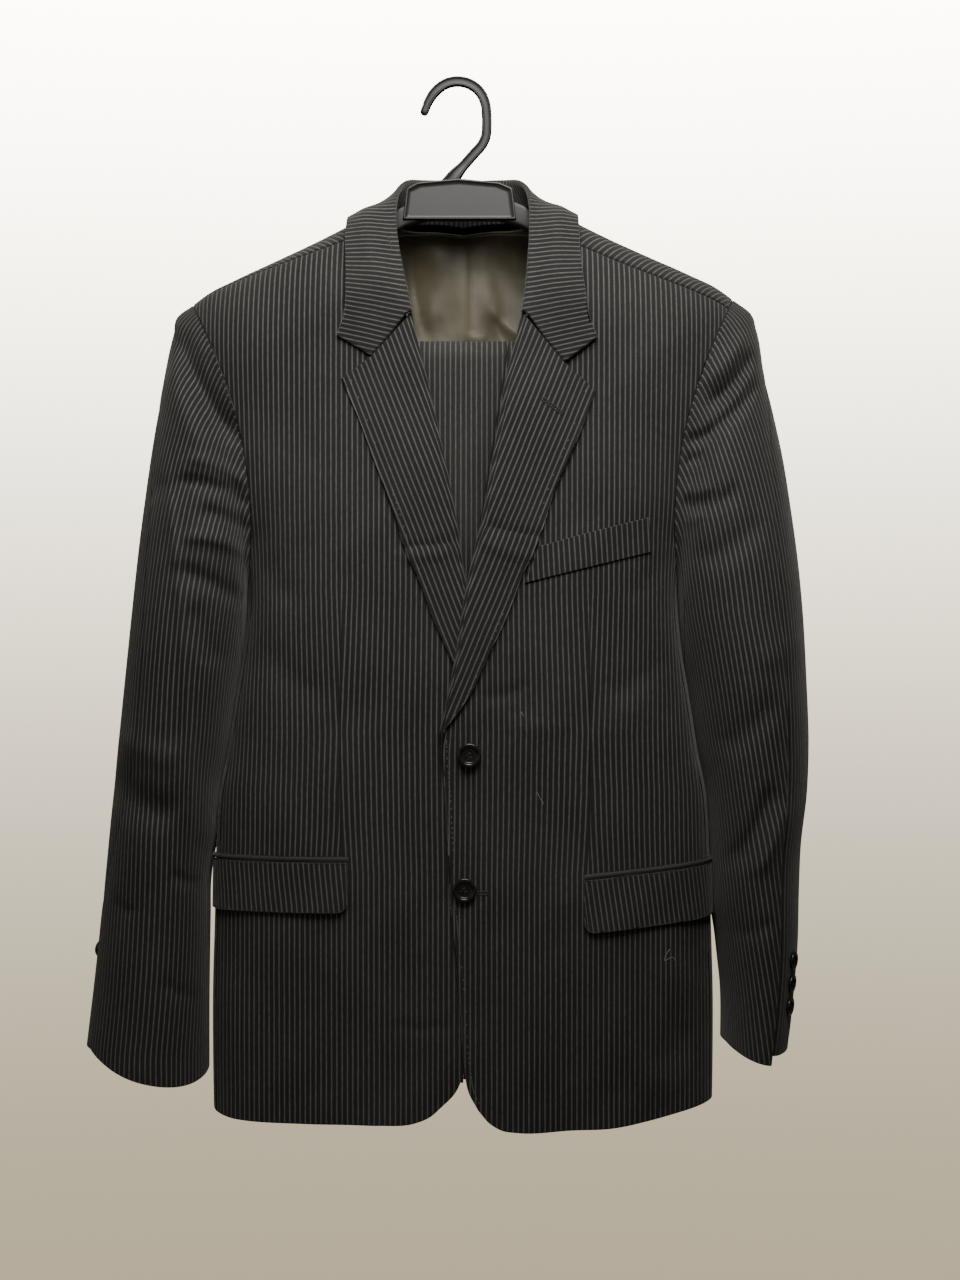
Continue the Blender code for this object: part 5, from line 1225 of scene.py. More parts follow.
def collar_half(side):
    """Half of the collar: a row for each station, a column for each point from the seam over the fold."""
    stations = np.linspace(0, 8, COLLAR_STEPS + 1)
    form = functools.partial(front_form, side)
    seam_at = collar_line(side, "seam", stations)
    leaf_at = collar_line(side, "leaf", stations)
    seam = form(seam_at[:, 0], seam_at[:, 1])
    leaf = moved_out(form, leaf_at[:, 0], leaf_at[:, 1], LEAF_LIFT)
    fold = np.stack([column(COLLAR, name, stations, "at") for name in ("fold_x", "fold_y", "fold_z")], axis=1)
    fold[:, 0] = side * (fold[:, 0] + end_shift(side, stations))
    rise = fold - seam
    seam = seam + STAND_START * unit(rise)
    lines = [seam + (fold - seam) * part for part in STAND_PARTS]
    lines.append(fold + np.array([0, 0, 0.0012]))
    roll_top = (FRONT_EDGE[side]["x"][-1], FRONT_EDGE[side]["z"][-1])
    gorge = np.array([(x, float(over_of(np.array(x), z, 1))) for x, z in (roll_top, NOTCH[side])])
    gorge[:, 1] += GORGE_LAP
    near_end = np.clip((stations - 6) / 2, 0, 1)[:, None] ** 2
    lift = LEAF_LIFT + (GORGE_LIFT[side] - LEAF_LIFT) * smooth((stations - 6.2) / 1.6)
    reach = 0.62 - 0.26 * smooth((stations - 1.5) / 2.0)[:, None]
    ends = [gorge[0] + (gorge[1] - gorge[0]) * share for share in (0.10, 0.5, 1.0)] + [leaf_at[-1]]
    for part, end in zip(LEAF_PARTS, ends):
        plane = seam_at + (leaf_at - seam_at) * part
        plane = plane + near_end * (end - plane[-1])
        resting = moved_out(form, plane[:, 0], plane[:, 1], lift)
        share = smooth(part / reach)
        lines.append((fold + (leaf - fold) * part) * (1 - share) + resting * share)
    return np.stack(lines, axis=1)


STRIPE_RISE, COLLAR_SLOPE = 13.0, 1.1        # degrees the stripes rise outward low down; length by height


def collar_stripes(points, stations):
    """U over the collar: the length along it behind the neck, and the height, nearly level, in front."""
    middle = points[:, sum(COLLAR_COLUMNS[:5])]
    run = run_of(middle)
    centre = len(points) // 2
    run = np.abs(run - run[centre])[:, None]
    x, z = np.abs(points[..., 0]), points[..., 2]
    rise = np.tan(np.radians(STRIPE_RISE)) * smooth((-0.13 - z) / 0.10)
    level = COLLAR_SLOPE * (rise * (x - 0.075) - z)
    fold = sum(COLLAR_COLUMNS[:3])
    level[:, :fold] = level[:, fold:fold + 1]
    at = centre + np.array([-1, 1]) * round(4 * COLLAR_STEPS / 8)
    start = (run[at, 0] - level[at, sum(COLLAR_COLUMNS[:5])])[:, None]
    start = np.where(np.arange(len(points))[:, None] < centre, start[0], start[1])
    share = smooth((stations - 2.2) / 1.6)[:, None]
    return np.sign(np.arange(len(points)) - centre)[:, None] * (run * (1 - share) + (level + start) * share)


def make_collar():
    points = np.concatenate([collar_half(RIGHT)[::-1], collar_half(LEFT)[1:]])
    stations = np.abs(np.linspace(-8, 8, 2 * COLLAR_STEPS + 1))
    points = through(points, COLLAR_COLUMNS, smooth((stations - 7.0) / 1.0))
    points = drawn_in(points, (0.0002, 0.0002, 0.0, 0.0))
    points = points + WALL * grid_normal(points, True)
    across = summed(np.linalg.norm(np.diff(points, axis=1), axis=-1))
    uv = np.stack([collar_stripes(points, stations), across], axis=-1)
    cloth("collar", points, uv, "ssff", turned=True, inner="suiting", held="folded")


# ---- pockets ---------------------------------------------------------------------------------------------
POCKET_COLUMNS, FLAP_ROWS, JETTING_ROWS = 60, 24, 10
WELT_COLUMNS, WELT_ROWS, WELT_LEAN = 60, 18, 0.06
FLAP_LEAN, FLAP_CORNER = 0.11, 0.0075        # the lean of a flap's stripes, and its rounded front corner


def on_side(side, part, z, lift):
    """The body's front or side by girth part, moved out."""
    step = 0.001
    across = around(side, part + step, z) - around(side, part - step, z)
    up = around(side, part, z + step) - around(side, part, z - step)
    lifted = around(side, part, z) + np.asarray(lift)[..., None] * unit(np.cross(across, up) * side)
    return creased(lifted, BODY_CREASES)


def pocket_grid(side, top, low, round_low, rows, lift):
    """A strip on a front below the pocket's line, from its front end round to the side."""
    pocket = POCKET[side]
    first = float(girth_of(pocket["x"], pocket["z"]))
    share = 1 - (1 - np.linspace(0, 1, POCKET_COLUMNS + 1)[None, :]) ** 1.7
    part = first + (pocket["reach"] - first) * share
    z_top = pocket["z"] + pocket["rise"] * share + top
    z_low = pocket["z"] + pocket["rise"] * share + low
    rounded = round_low * (1 - np.sqrt(1 - np.clip(1 - share / 0.08, 0, 1) ** 2))
    v = np.linspace(0, 1, rows + 1)[:, None]
    z = z_low + rounded + (z_top - z_low - rounded) * v
    return on_side(side, part + 0 * z, z, lift(v, share))


def make_pocket(side):
    pocket = POCKET[side]
    rest = CLOTH_LIFT + POCKET_PIECE_T

    def flap_lift(v, share):
        """The flap stands off most at its free lower edge, in a slow wave."""
        wave = (1 - v) ** 1.5 * (0.0014 + 0.0008 * np.sin(9 * share))
        return rest + wave * (1 - smooth((share - 0.7) / 0.3))

    def roll_lift(v, share):
        """The jetting is a full round roll of cloth."""
        return rest - 0.0006 + 0.0012 * np.sin(math.pi * v) + 0 * share

    flap = pocket_grid(side, 0.0, -pocket["height"], FLAP_CORNER, FLAP_ROWS, flap_lift)
    uv = measured_uv(flap)
    uv[..., 0] += side * FLAP_LEAN * uv[..., 1]
    cloth(f"pocket_flap_{FACING[side]}", flap, uv, "ffff", POCKET_PIECE_T, side < 0)
    jetting = pocket_grid(side, SEAM_GAP + pocket["jetting"], SEAM_GAP, 0.0, JETTING_ROWS, roll_lift)
    uv = measured_uv(jetting)[..., ::-1].copy()
    uv[..., 0] += PITCH * 0.5 - pocket["jetting"] * 0.5
    cloth(f"pocket_jetting_{FACING[side]}", jetting, uv, "ffff", POCKET_PIECE_T, side < 0, look="piping_stripe_and_highlight")


def make_welt():
    low_in, low_out, top_out, top_in = np.stack([WELT["x"], WELT["z"]], axis=1)
    u = np.linspace(0, 1, WELT_COLUMNS + 1)[None, :, None]
    v = np.linspace(0, 1, WELT_ROWS + 1)[:, None, None]
    plane = (1 - v) * (low_in + (low_out - low_in) * u) + v * (top_in + (top_out - top_in) * u)
    over = over_of(plane[..., 0], plane[..., 1], 1)
    lift = CLOTH_LIFT + WELT_T + 0.0005 * v[..., 0]
    points = moved_out(functools.partial(front_form, LEFT), plane[..., 0], over, lift + 0 * over)
    uv = np.stack([plane[..., 0] + WELT_LEAN * plane[..., 1], plane[..., 1]], axis=-1)
    cloth("breast_pocket_welt", points, uv, "ffff", WELT_T)


# ---- lining, trousers ------------------------------------------------------------------------------------
LINING_ROWS, LINING_COLUMNS = 91, 101
LINING_PLEAT_X, LINING_PLEAT_W, NECK_PITCH = 0.0050, 0.0035, 0.0064
NECK_STITCHES = (-3, slice(30, 72))          # the part of the lining's grid that its stitches follow
LINING_TOP = table("x drop", [
    (0.0, 0.0376), (0.044, 0.0256), (0.060, 0.0210), (0.076, 0.0330), (0.130, 0.0420),
])
LINING_CREASES = table("x0 z0 x1 z1 width height bow facing", [
    (-0.0480, -0.1300, -0.0330, -0.2150, 0.0080, 0.0030, 0.05, 1),
    (-0.0250, -0.1350, -0.0300, -0.2000, 0.0110, -0.0026, -0.05, 1),
    (0.0270, -0.1900, 0.0520, -0.2120, 0.0035, -0.0022, 0.06, 1),
    (0.0280, -0.1950, 0.0480, -0.2350, 0.0070, 0.0026, 0.05, 1),
    (0.0020, -0.2120, 0.0200, -0.2140, 0.0028, -0.0014, 0.04, 1),
    (0.0200, -0.1300, 0.0260, -0.1900, 0.0100, -0.0018, 0.05, 1),
])


def make_lining():
    """The back lining with its centre pleat: the cloth steps forward over the fold."""
    x = np.linspace(-LINING["half"], LINING["half"], LINING_COLUMNS)[None, :]
    top = ridge(x) - column(LINING_TOP, "drop", np.abs(x), "x")
    v = np.linspace(0, 1, LINING_ROWS)[:, None]
    z = LINING["low"] + (top - LINING["low"]) * v
    x = x + 0 * z
    step = 0.0012 * smooth((x - LINING_PLEAT_X) / LINING_PLEAT_W + 0.5)
    ripple = 0.0006 * np.sin(x * 95 + 2.0 * np.sin(z * 30)) * smooth((top - z) / 0.05)
    points = moved_out(back_form, x, over_of(x, z, -1), -(WALL + LINING["gap"] + step + ripple))
    points = creased(points, LINING_CREASES)
    uv = np.stack([x, z], axis=-1)
    row, out = along_line(points[NECK_STITCHES], grid_normal(points, True)[NECK_STITCHES], NECK_PITCH)
    stitch_row("neck_stitches", row + out * 0.0002, out, "dark_thread", 0.0014, 0.0016, 0.0009)
    cloth("back_lining", points, uv, "ffff", 0.0006, True, look="lining")


LEG_SEAM = (0.0376, 0.157)     # the side seam's place at the fold, and its slope
LEG_ROWS, LEG_COLUMNS = 90, 41


def leg_path(radius, count):
    """The legs' path in y and z, up the front, over the bar and down behind, and the length along it."""
    turn = np.linspace(-math.pi / 2, math.pi / 2, 25)
    bend = np.stack([radius * np.sin(turn), FOLD_Z + radius * np.cos(turn)], axis=1)
    up = np.linspace(FOLD_Z - FRONT_DROP, FOLD_Z, count + 1)[:-1]
    front = np.stack([np.full(count, -radius), up], axis=1)
    back = np.stack([np.full(count, radius), np.linspace(FOLD_Z, FOLD_Z - BACK_DROP, count + 1)[1:]], axis=1)
    path = np.concatenate([front, bend, back])
    return path, run_of(path)


def make_leg(node, radius):
    """A pressed leg: two layers as one strip, full and rounded at its pressed creases along both sides."""
    path, run = leg_path(radius, LEG_ROWS)
    half = curve(TROUSERS["s"], TROUSERS["half"], run / run[-1])
    across = np.linspace(-1, 1, LEG_COLUMNS)[None, :]
    x = TROUSERS_X + half[:, None] * across
    points = np.stack([x, path[:, :1] + 0 * x, path[:, 1:] + 0 * x], axis=-1)
    uv = np.stack([x, run[:, None] + 0 * x], axis=-1)
    fields = {"dart": x - LEG_SEAM[0] - LEG_SEAM[1] * (points[..., 2] - FOLD_Z), "intake": 0.0007 + 0 * x}
    cloth(node, points, uv, "ffff", LEG_T, look="trousers_painted_light", inner="trousers_painted_light", fields=fields, held="folded",
          round_edge=0.5)


def make_waistband():
    """The folded waistband below the legs' back ends: a rounded band, a loop of the squared section."""
    thick, height = WAISTBAND["thick"], WAISTBAND["height"]
    middle = FOLD_Z - BACK_DROP - SEAM_GAP - height / 2
    ring_y, ring_z = squared(48, 0.22)
    ring_y, ring_z = ring_y * thick / 2, ring_z * height / 2
    at = np.linspace(-1, 1, 41)
    shrink = np.maximum((1 - np.abs(at) ** 14) ** 0.5, 0.05)[:, None]
    x = TROUSERS_X + WAISTBAND["half"] * at[:, None] + 0 * ring_y
    points = np.stack([x, FOLD_R + LEG_T + SEAM_GAP / 2 + shrink * ring_y, middle + shrink * ring_z], axis=-1)
    quads = ring_quads(len(at), len(ring_y))
    flat = np.stack([points[..., 0], points[..., 2] + points[..., 1]], axis=-1).reshape(-1, 2)
    ones = np.ones(points.shape[:2])
    made = finished("trouser_waistband_cloth", points, quads, "trousers_painted_light", ["trouser_waistband"], flat,
                    {"dart": ones, "intake": 0 * ones})


# ---- buttons ---------------------------------------------------------------------------------------------
# A button's profile, from the middle of its face round to its back, as parts of its radius and its thickness.
BUTTON_PROFILE = table("r z", [
    (0.0, 0.60), (0.10, 0.60), (0.20, 0.60), (0.30, 0.60), (0.38, 0.60), (0.46, 0.60), (0.54, 0.60),
    (0.60, 0.61), (0.66, 0.68), (0.72, 0.86), (0.78, 0.97), (0.84, 1.0), (0.90, 0.985), (0.95, 0.93),
    (0.985, 0.84), (1.0, 0.70), (0.99, 0.45), (0.93, 0.12), (0.6, 0.0), (0.0, 0.0),
])
FACE_RINGS, REST_RINGS, BUTTON_SIDES = 34, 46, 64
HOLE_AT, HOLE_R, HOLE_DEPTH = 0.22, 0.055, 0.40         # place and size by the radius, depth by thickness


def button_points(diameter, thick):
    """A turned button: rim, dished face, and four holes pressed into it. Z is its axis, 0 its back."""
    r = diameter / 2
    profile_r, profile_z = BUTTON_PROFILE["r"], BUTTON_PROFILE["z"]
    run = np.concatenate([[0.0], np.cumsum(np.hypot(np.diff(profile_r), np.diff(profile_z) * thick / r))])
    at = np.concatenate([np.linspace(0, 0.52, FACE_RINGS), np.linspace(0.53, run[-1], REST_RINGS)])
    pr, pz = (np.interp(at, run, p) for p in (profile_r, profile_z))
    turn = np.linspace(0, 2 * math.pi, BUTTON_SIDES, endpoint=False)
    x, y = pr[:, None] * np.cos(turn) * r, pr[:, None] * np.sin(turn) * r
    z = pz[:, None] * thick + 0 * x
    face = (np.arange(len(at)) < FACE_RINGS)[:, None]
    for k in range(4):
        a = math.pi / 4 + k * math.pi / 2
        away = np.hypot(x - HOLE_AT * r * math.cos(a), y - HOLE_AT * r * math.sin(a))
        z = z - face * HOLE_DEPTH * thick * (1 - smooth((away / r - HOLE_R) / 0.05))
    return np.stack([x, y, z], axis=-1), ring_quads(len(at), len(turn), capped=False)


def facing_frame(facing, roll=0.0):
    """Three unit axes, the third of them along facing."""
    out = unit(np.asarray(facing, float))
    across = unit(np.cross(Z_AXIS, out))
    up = np.cross(out, across)
    c, s = math.cos(roll), math.sin(roll)
    return np.stack([c * across + s * up, -s * across + c * up, out])


def make_button(name, centre, facing, diameter, thick, roll, node):
    points, quads = button_points(diameter, thick)
    axes = facing_frame(facing, roll)
    placed_points = points.reshape(-1, 3) @ axes + centre
    finished(name, placed_points, quads, "button", [node])
    hole = HOLE_AT * diameter / 2 * math.sqrt(0.5)
    strands = []
    for sign in (-1, 1):
        for nudge in (-0.00035, 0.0, 0.00035):
            t = np.linspace(-1, 1, 9)
            line = np.stack([t * hole, sign * hole + nudge + 0 * t, thick * (0.66 - 0.12 * t**6)], axis=-1)
            strands.append(tube(line @ axes + centre, 0.00022, 8))
    finished(name + "_thread", *joined(strands), "dark_thread")


CUFF_BUTTON_D, CUFF_BUTTON_T, BUTTON_D, BUTTON_T = 0.0150, 0.0035, 0.020, 0.0045
CUFF_BUTTON_TOP, CUFF_BUTTON_PITCH, CUFF_BUTTONS = -0.7520, 0.0195, 3
CUFF_SEAT = {LEFT: -0.0003, RIGHT: 0.0001}
CUFF_BUTTON_TURN = {LEFT: -25.0, RIGHT: -14.0}


def cuff_button_seat(side, height):
    """Where a cuff button lies, just behind the hind seam, and the way it faces."""
    w = np.linspace(0.8, 1.0, 200)
    angle = column(SLEEVE[side], "hind", w, "w") + CUFF_BUTTON_TURN[side]
    line = sleeve(side, angle, w)
    i = int(np.argmin(np.abs(line[:, 2] - height)))
    at, turn = np.array(w[i]), np.array(angle[i])
    round_it = sleeve(side, turn + 4, at) - sleeve(side, turn - 4, at)
    along = sleeve(side, turn, at + 0.01) - sleeve(side, turn, at - 0.01)
    normal = np.cross(round_it, along)
    normal = unit(normal * (np.sign(normal[0] * side) or 1.0))
    return line[i] + normal * CUFF_SEAT[side], normal


def make_buttons():
    for number, (x, z) in enumerate(zip(BUTTONS["x"], BUTTONS["z"]), 1):
        over = over_of(np.array(x), np.array(z), 1)
        at = front_form(LEFT, np.array(x), over) + np.array([0, -SEAM_GAP - 0.0003, 0])
        node = f"front_button_{number}"
        make_button(node + "_turned", at, (0, -1, 0.04), BUTTON_D, BUTTON_T, 0.3 * number, node)
    for side in (LEFT, RIGHT):
        for number in range(CUFF_BUTTONS):
            at, facing = cuff_button_seat(side, CUFF_BUTTON_TOP - number * CUFF_BUTTON_PITCH)
            node = f"cuff_button_{FACING[side]}_{number + 1}"
            make_button(node + "_turned", at, facing, CUFF_BUTTON_D, CUFF_BUTTON_T, 0.5 * number, node)


# ---- stitches --------------------------------------------------------------------------------------------
PICK_PITCH, PICK_LENGTH = 0.0044, 0.0022
EDGE_STITCHES = (-0.872, -0.566)             # the heights between which the front edge's stitches show


def stitch_row(name, line, normal, look, length=PICK_LENGTH, width=0.0006, height=0.0005):
    """A row of pick stitches along a line of points, one at each."""
    along = unit(np.gradient(line, axis=0))
    finished(name, *studs(line, along, normal, length, width, height), look)


def along_line(points, normal, pitch):
    """The points of a line at every pitch, with their normals."""
    count = max(int(np.linalg.norm(np.diff(points, axis=0), axis=1).sum() / pitch), 2)
    both = resample(np.concatenate([points, normal], axis=1), count)
    return both[:, :3], unit(both[:, 3:])


def resting_on(points, line, lift):
    """A line of (x, z) laid on a grid's outer face, weighed from its nearest points, and the normals there."""
    flat, normal = points.reshape(-1, 3), grid_normal(points, False).reshape(-1, 3)
    away = (flat[None, :, 0] - line[:, :1]) ** 2 + (flat[None, :, 2] - line[:, 1:]) ** 2
    near = np.argsort(away, axis=1)[:, :4]
    weight = 1 / (np.take_along_axis(away, near, 1) + 1e-10)
    weight = (weight / weight.sum(axis=1, keepdims=True))[..., None]
    y, out = (flat[near] * weight).sum(axis=1)[:, 1], unit((normal[near] * weight).sum(axis=1))
    return np.stack([line[:, 0], y, line[:, 1]], axis=-1) + lift * out, out


def buttonhole(name, ends, points):
    """A worked buttonhole: a row of short stitches across each side of its slit, and a bar at its end."""
    start, end = (np.array(e) for e in ends)
    way = (end - start) / np.linalg.norm(end - start)
    beside = np.array([-way[1], way[0]])
    count = int(np.linalg.norm(end - start) / 0.0007)
    rows = []
    for sign in (-1, 1):
        line = np.linspace(start, end, count) + sign * beside * 0.0011
        place, out = resting_on(points, line, 0.0002)
        along = np.array([beside[0], 0.0, beside[1]]) + 0 * out
        rows.append(studs(place, along, out, 0.0018, 0.00075, 0.0009))
    line = np.linspace(end - beside * 0.0013, end + beside * 0.0013, 5)
    place, out = resting_on(points, line, 0.0003)
    rows.append(studs(place, np.array([way[0], 0.0, way[1]]) + 0 * out, out, 0.0016, 0.0007, 0.0009))
    finished(name, *joined(rows), "dark_thread")


# The stray fibres: the front that each lies on, its place (x, z), its length and how much it curls.
LINT = [
    (LEFT, (0.1715, -0.7450), 0.0100, 1.0), (LEFT, (0.0495, -0.5425), 0.0035, 0.2),
    (LEFT, (0.0630, -0.6100), 0.0100, 0.1), (RIGHT, (-0.1300, -0.6950), 0.0040, 0.7),
]


def make_lint(number, side, at, length, curl):
    """A stray fibre lying on a front: a short wandering hair."""
    t = np.linspace(0, 1, 14)
    x = at[0] + length * (0.5 * t + 0.35 * curl * np.sin(7 * t + number))
    z = at[1] - length * (t - 0.3 * curl * np.sin(9 * t))
    form = functools.partial(front_form, side)
    over = over_of(x, z, 1)
    line = moved_out(form, x, over, 0.0003)
    finished(f"lint_{number}", *tube(line, 0.00016, 6), "lint")


def make_stitches():
    for side in (LEFT, RIGHT):
        points, _, _ = lapel_points(side)
        normal = grid_normal(points, side < 0)
        line, out = along_line(points[8:-3, -5], normal[8:-3, -5], PICK_PITCH)
        stitch_row(f"lapel_stitches_{FACING[side]}", line + out * 0.0001, out, "grey_thread", width=0.0007)
        if side == LEFT:
            buttonhole("lapel_buttonhole", [(0.0668, -0.2804), (0.0835, -0.2924)], points)
    for number, fibre in enumerate(LINT, 1):
        make_lint(number, *fibre)
    x, z = np.meshgrid(np.linspace(0.0, 0.04, 41), np.linspace(-0.705, -0.685, 21))
    points = front_form(LEFT, x, over_of(x, z, 1))
    buttonhole("front_buttonhole", [(0.0125, -0.6945), (0.0207, -0.6945)], points)
    edge = smooth_line(FRONT_EDGE[LEFT], 400)
    edge = edge[(edge[:, 1] < EDGE_STITCHES[1]) & (edge[:, 1] > EDGE_STITCHES[0])]
    x, over = edge[:, 0] + 0.0050, over_of(edge[:, 0], edge[:, 1], 1)
    form = functools.partial(front_form, LEFT)
    points, normal = form(x, over), normal_of(form, x, over)
    line, out = along_line(points, normal, PICK_PITCH)
    stitch_row("front_edge_stitches", line + out * 0.0001, out, "grey_thread", width=0.0008)


# ---- the hanger ------------------------------------------------------------------------------------------
HANGER_T, ROD_R = 0.012, 0.0044
PLATE = dict(left=-0.0490, right=0.0430, top=-0.0820, corner=-0.0905, low=-0.1172)
ARM_REACH, ARM_DROP, ARM_LOW, POST_X, POST_W = 0.206, 0.0067, 0.030, 0.190, 0.012
HOOK_POINTS, HOOK_SIDES = 130, 32
HOOK = table("x z", [
    (-0.0150, -0.0870), (-0.0039, -0.0744), (0.0094, -0.0594), (0.0172, -0.0502), (0.0202, -0.0425),
    (0.0207, -0.0350), (0.0206, -0.0260), (0.0193, -0.0150), (0.0148, -0.0055), (0.0070, 0.0010),
    (-0.0030, 0.0038), (-0.0130, 0.0025), (-0.0225, -0.0035), (-0.0290, -0.0120), (-0.0335, -0.0225),
])


def hook_shape():
    """The hook's moulded section: a squared round with a shallow channel along its front."""
    a, b = squared(HOOK_SIDES, 0.6)
    b = np.where(b < 0, b * (1 - 0.30 * smooth((0.66 - np.abs(a)) / 0.16)), b)
    return np.stack([a, b], axis=1)


def lofted(centres, half_a, half_b, axis_a, axis_b, power=0.35):
    """A bar of squared oval rings about its centres, closed at both ends by small rings."""
    size = np.ones(len(centres))
    size[[0, -1]] = LEAST_RING
    a, b = squared(40, power)
    wide = (half_a * size)[:, None, None] * a[:, None] * axis_a
    tall = (half_b * size)[:, None, None] * b[:, None] * axis_b
    return (centres[:, None] + wide + tall).reshape(-1, 3), ring_quads(len(centres), len(a))


def ended(start, stop, count):
    """Even steps from start to stop, both ends twice: once for the small ring that closes the bar."""
    return np.concatenate([[start], np.linspace(start, stop, count), [stop]])


def arm(side):
    """An arm from the plate to its end, and the post that stands below it on the bar."""
    x = ended(0.030, ARM_REACH - 0.003, 60)
    x[-1] = ARM_REACH
    high = ridge(side * x) - ARM_DROP
    by_plate = np.interp(x, [0.03, 0.043, 0.058, 0.086], [-0.0885, -0.0925, -0.1090, -0.1220])
    high = np.where(x < 0.086, np.minimum(high, by_plate), high)
    low = ridge(side * x) - ARM_LOW
    by_plate = np.interp(x, [0.03, 0.05, 0.10], [-0.1172, -0.1230, float(ridge(side * 0.10)) - ARM_LOW])
    low = np.where(x < 0.10, by_plate, low)
    centres = np.stack([side * x, 0 * x, (high + low) / 2], axis=-1)
    points, quads = lofted(centres, HANGER_T / 2, (high - low) / 2, Y_AXIS, Z_AXIS, 0.30)
    z = ended(high[-1] - 0.006, BAR_TOP - BAR_H + 0.002, 30)
    centres = np.stack([side * (POST_X + 0 * z), 0 * z, z], axis=-1)
    post, post_quads = lofted(centres, POST_W / 2, HANGER_T / 2, X_AXIS, Y_AXIS)
    return [(points, quads if side > 0 else quads[:, ::-1]), (post, post_quads[:, ::-1])]


def plate():
    """The plate below the hook: rings of its outline from the back round to the front, with a raised rim."""
    left, right, top, corner, foot = (PLATE[key] for key in ("left", "right", "top", "corner", "low"))
    outline = np.array([
        (left - 0.0030, foot), (left, corner), (-0.040, top - 0.0035), (-0.004, top), (0.032, top - 0.0035),
        (right, corner), (right + 0.0032, foot), (left - 0.0030, foot)])
    line = resample(outline, 161)[:-1]
    centre = np.array([(left + right) / 2, (corner + foot) / 2 - 0.001])
    half = np.abs(line - centre).max(axis=0)

    def ring(scale, y):
        x, z = (centre + (line - centre) * scale).T
        return np.stack([x, np.full(len(line), y), z], axis=-1)

    back, front, rim = HANGER_T / 2, -HANGER_T / 2 - 0.0025, 0.0016
    dish = front + 0.0010
    rings = [ring(scale, y) for scale, y in (
        (0.05, back), (0.6, back), (0.98, back - 0.001), (1.0, back - 0.002), (1.0, front + 0.001),
        (0.9985, front + 0.0003), (0.995, front))]
    rings += [ring(1 - step / half, y) for step, y in (
        (rim, front), (rim + 0.0004, front + 0.0002), (rim + 0.0007, dish), (rim + 0.004, dish), (0.010, dish))]
    rings.append(ring(0.05, dish))
    return np.concatenate(rings), ring_quads(len(rings), len(line))


def make_hanger():
    line = smooth_line(HOOK, HOOK_POINTS)
    foot = 0.35 * smooth((-0.068 - line[:, 1]) / 0.012)
    tip = 0.18 * smooth((np.arange(HOOK_POINTS) - 112) / 17)
    hook = np.stack([line[:, 0], 0 * line[:, 0], line[:, 1]], axis=-1)
    parts = [tube(hook, ROD_R * (1 + foot - tip), HOOK_SIDES, hook_shape())]
    parts += arm(LEFT) + arm(RIGHT)
    x = ended(-POST_X - 0.006, POST_X + 0.006, 60)
    centres = np.stack([x, 0 * x, np.full(len(x), BAR_TOP - BAR_H / 2)], axis=-1)
    parts.append(lofted(centres, HANGER_T / 2, BAR_H / 2, Y_AXIS, Z_AXIS, 0.5))
    parts.append(plate())
    points, quads = joined(parts)
    # the hook is dark plastic; the arms, posts and bar take its dark look as painted shade, and the plate stays
    # grey
    dark = np.arange(len(quads)) < len(quads) - len(parts[-1][1])
    finished("hanger_moulding", points, quads, "hanger", ["hanger"], under=("hook", dark))


# ---- floor, light and camera -----------------------------------------------------------------------------
FLOOR_Z = -1.45
CAMERA = dict(x=0.0148, y=-1.900, z=-0.482, view_height=1.1136)


def make_stage():
    bpy.ops.mesh.primitive_circle_add(vertices=96, radius=1.3, fill_type="NGON", location=(0, 0, FLOOR_Z))
    floor = bpy.context.object
    floor.name = "floor"
    made, n, shader = surface("pale floor", Roughness=0.9)
    place = n.place()
    grain = n.noise(place, 7.0, 3.0)
    n.put(shader.inputs["Base Color"], n.blend(grain, (0.66, 0.63, 0.57, 1.0), (0.72, 0.69, 0.63, 1.0)))
    floor.data.materials.append(made)


LIGHT_COLOUR = (1.0, 0.98, 0.95)
# name, place, aim, size, watts, spread in degrees
LIGHTS = [
    ("key", (0.06, -0.68, 0.42), (0.0, 0.0, -0.10), 0.8, 6.2, 105),
    ("fill", (-1.5, -1.3, -0.1), (-0.2, 0.0, -0.5), 1.6, 2.4, 180),
    ("rim", (0.0, 2.0, 1.2), (0.0, 0.0, -0.4), 1.6, 12.0, 180),
]


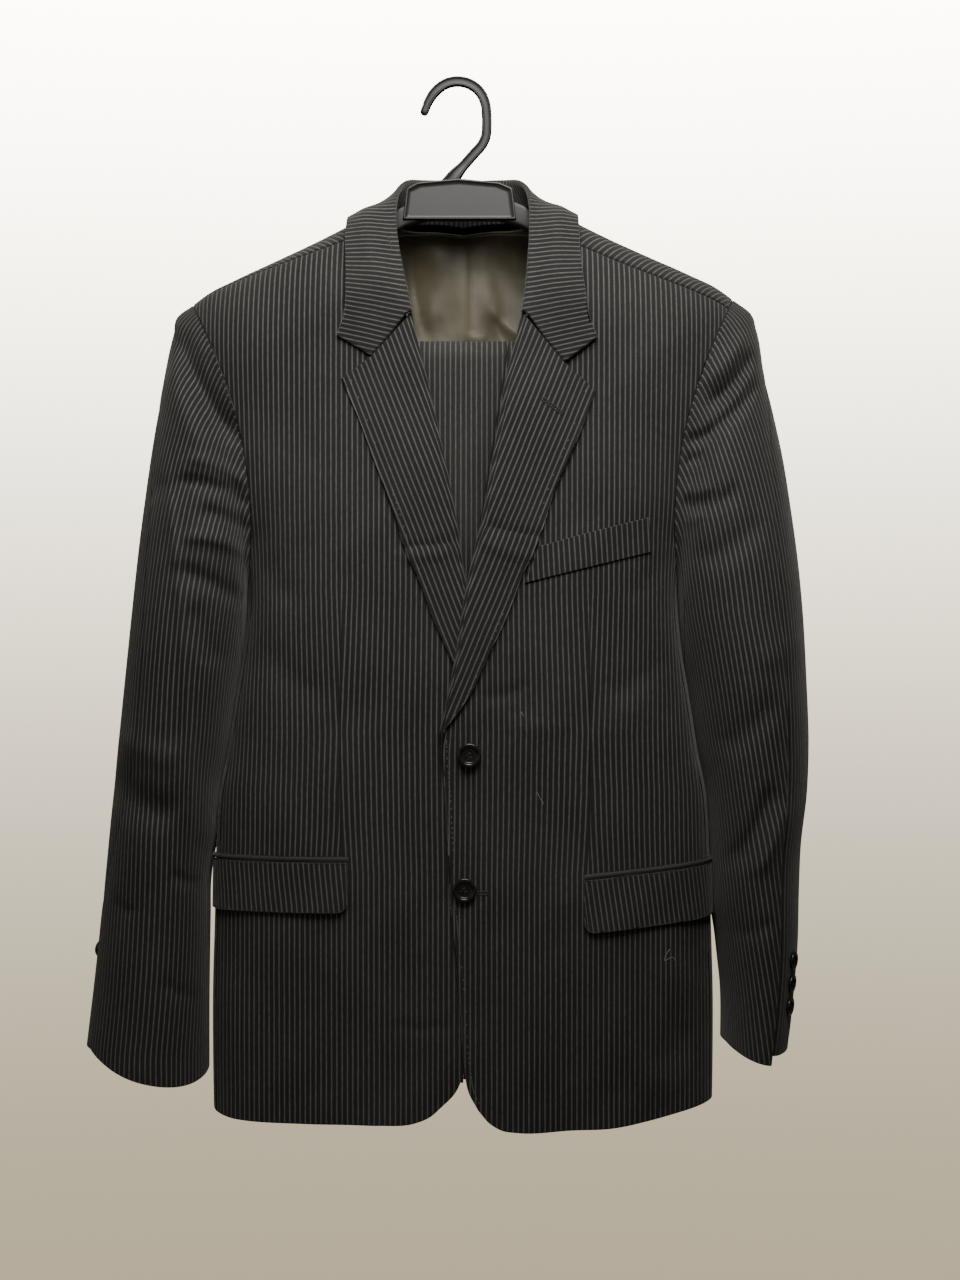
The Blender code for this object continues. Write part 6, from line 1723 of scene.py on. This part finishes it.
def area_light(name, place, aim, size, watts, spread):
    data = bpy.data.lights.new(name, "AREA")
    data.spread = math.radians(spread)
    data.shape, data.size, data.energy, data.color = "DISK", size, watts, LIGHT_COLOUR
    light = bpy.data.objects.new(name, data)
    bpy.context.scene.collection.objects.link(light)
    light.location = place
    way = np.array(aim) - np.array(place)
    light.rotation_euler = Vector(way).to_track_quat("-Z", "Y").to_euler()


def make_world():
    world = bpy.data.worlds.new("pale studio")
    bpy.context.scene.world = world
    world.use_nodes = True
    n = Nodes(world.node_tree)
    back = world.node_tree.nodes["Background"]
    way = n.add("ShaderNodeSeparateXYZ", {0: n.add("ShaderNodeTexCoord").outputs["Generated"]}).outputs[2]
    tone = n.ramp(way, -0.34, 0.36)
    n.put(back.inputs["Color"], n.blend(tone, (0.52, 0.44, 0.29, 1.0), (1.0, 0.93, 0.79, 1.0)))
    seen = n.add("ShaderNodeLightPath").outputs["Is Camera Ray"]
    # the background seen by the camera is painted far brighter towards the top: a painted pool of light on the
    # wall behind
    painted_light_pool = n.math("POWER", 13.0, n.math("MULTIPLY_ADD", n.math("POWER", tone, 1.6), 1.0, 0.06))
    lit = n.math("MULTIPLY_ADD", tone, 0.12, 0.015)
    n.put(back.inputs["Strength"], n.plus(lit, n.times(seen, painted_light_pool)))


def make_camera():
    data = bpy.data.cameras.new("camera")
    data.sensor_width = 36.0
    data.lens = data.sensor_width * abs(CAMERA["y"]) / CAMERA["view_height"]
    camera = bpy.data.objects.new("camera", data)
    camera.location = (CAMERA["x"], CAMERA["y"], CAMERA["z"])
    camera.rotation_euler = (math.pi / 2, 0.0, 0.0)
    bpy.context.scene.collection.objects.link(camera)
    bpy.context.scene.camera = camera


def main():
    make_hanger()
    for side in (LEFT, RIGHT):
        make_front(side)
        make_back(side)
        make_side(side)
        make_sleeve(side, "upper")
        make_sleeve(side, "under")
        make_lapel(side)
        make_pocket(side)
    make_collar()
    make_welt()
    make_lining()
    make_leg("trouser_leg_inner", FOLD_R + LEG_T)
    make_leg("trouser_leg_outer", FOLD_R + 2 * LEG_T + SEAM_GAP)
    make_waistband()
    make_buttons()
    make_stitches()
    make_stage()
    make_world()
    for light in LIGHTS:
        area_light(*light)
    make_camera()


main()
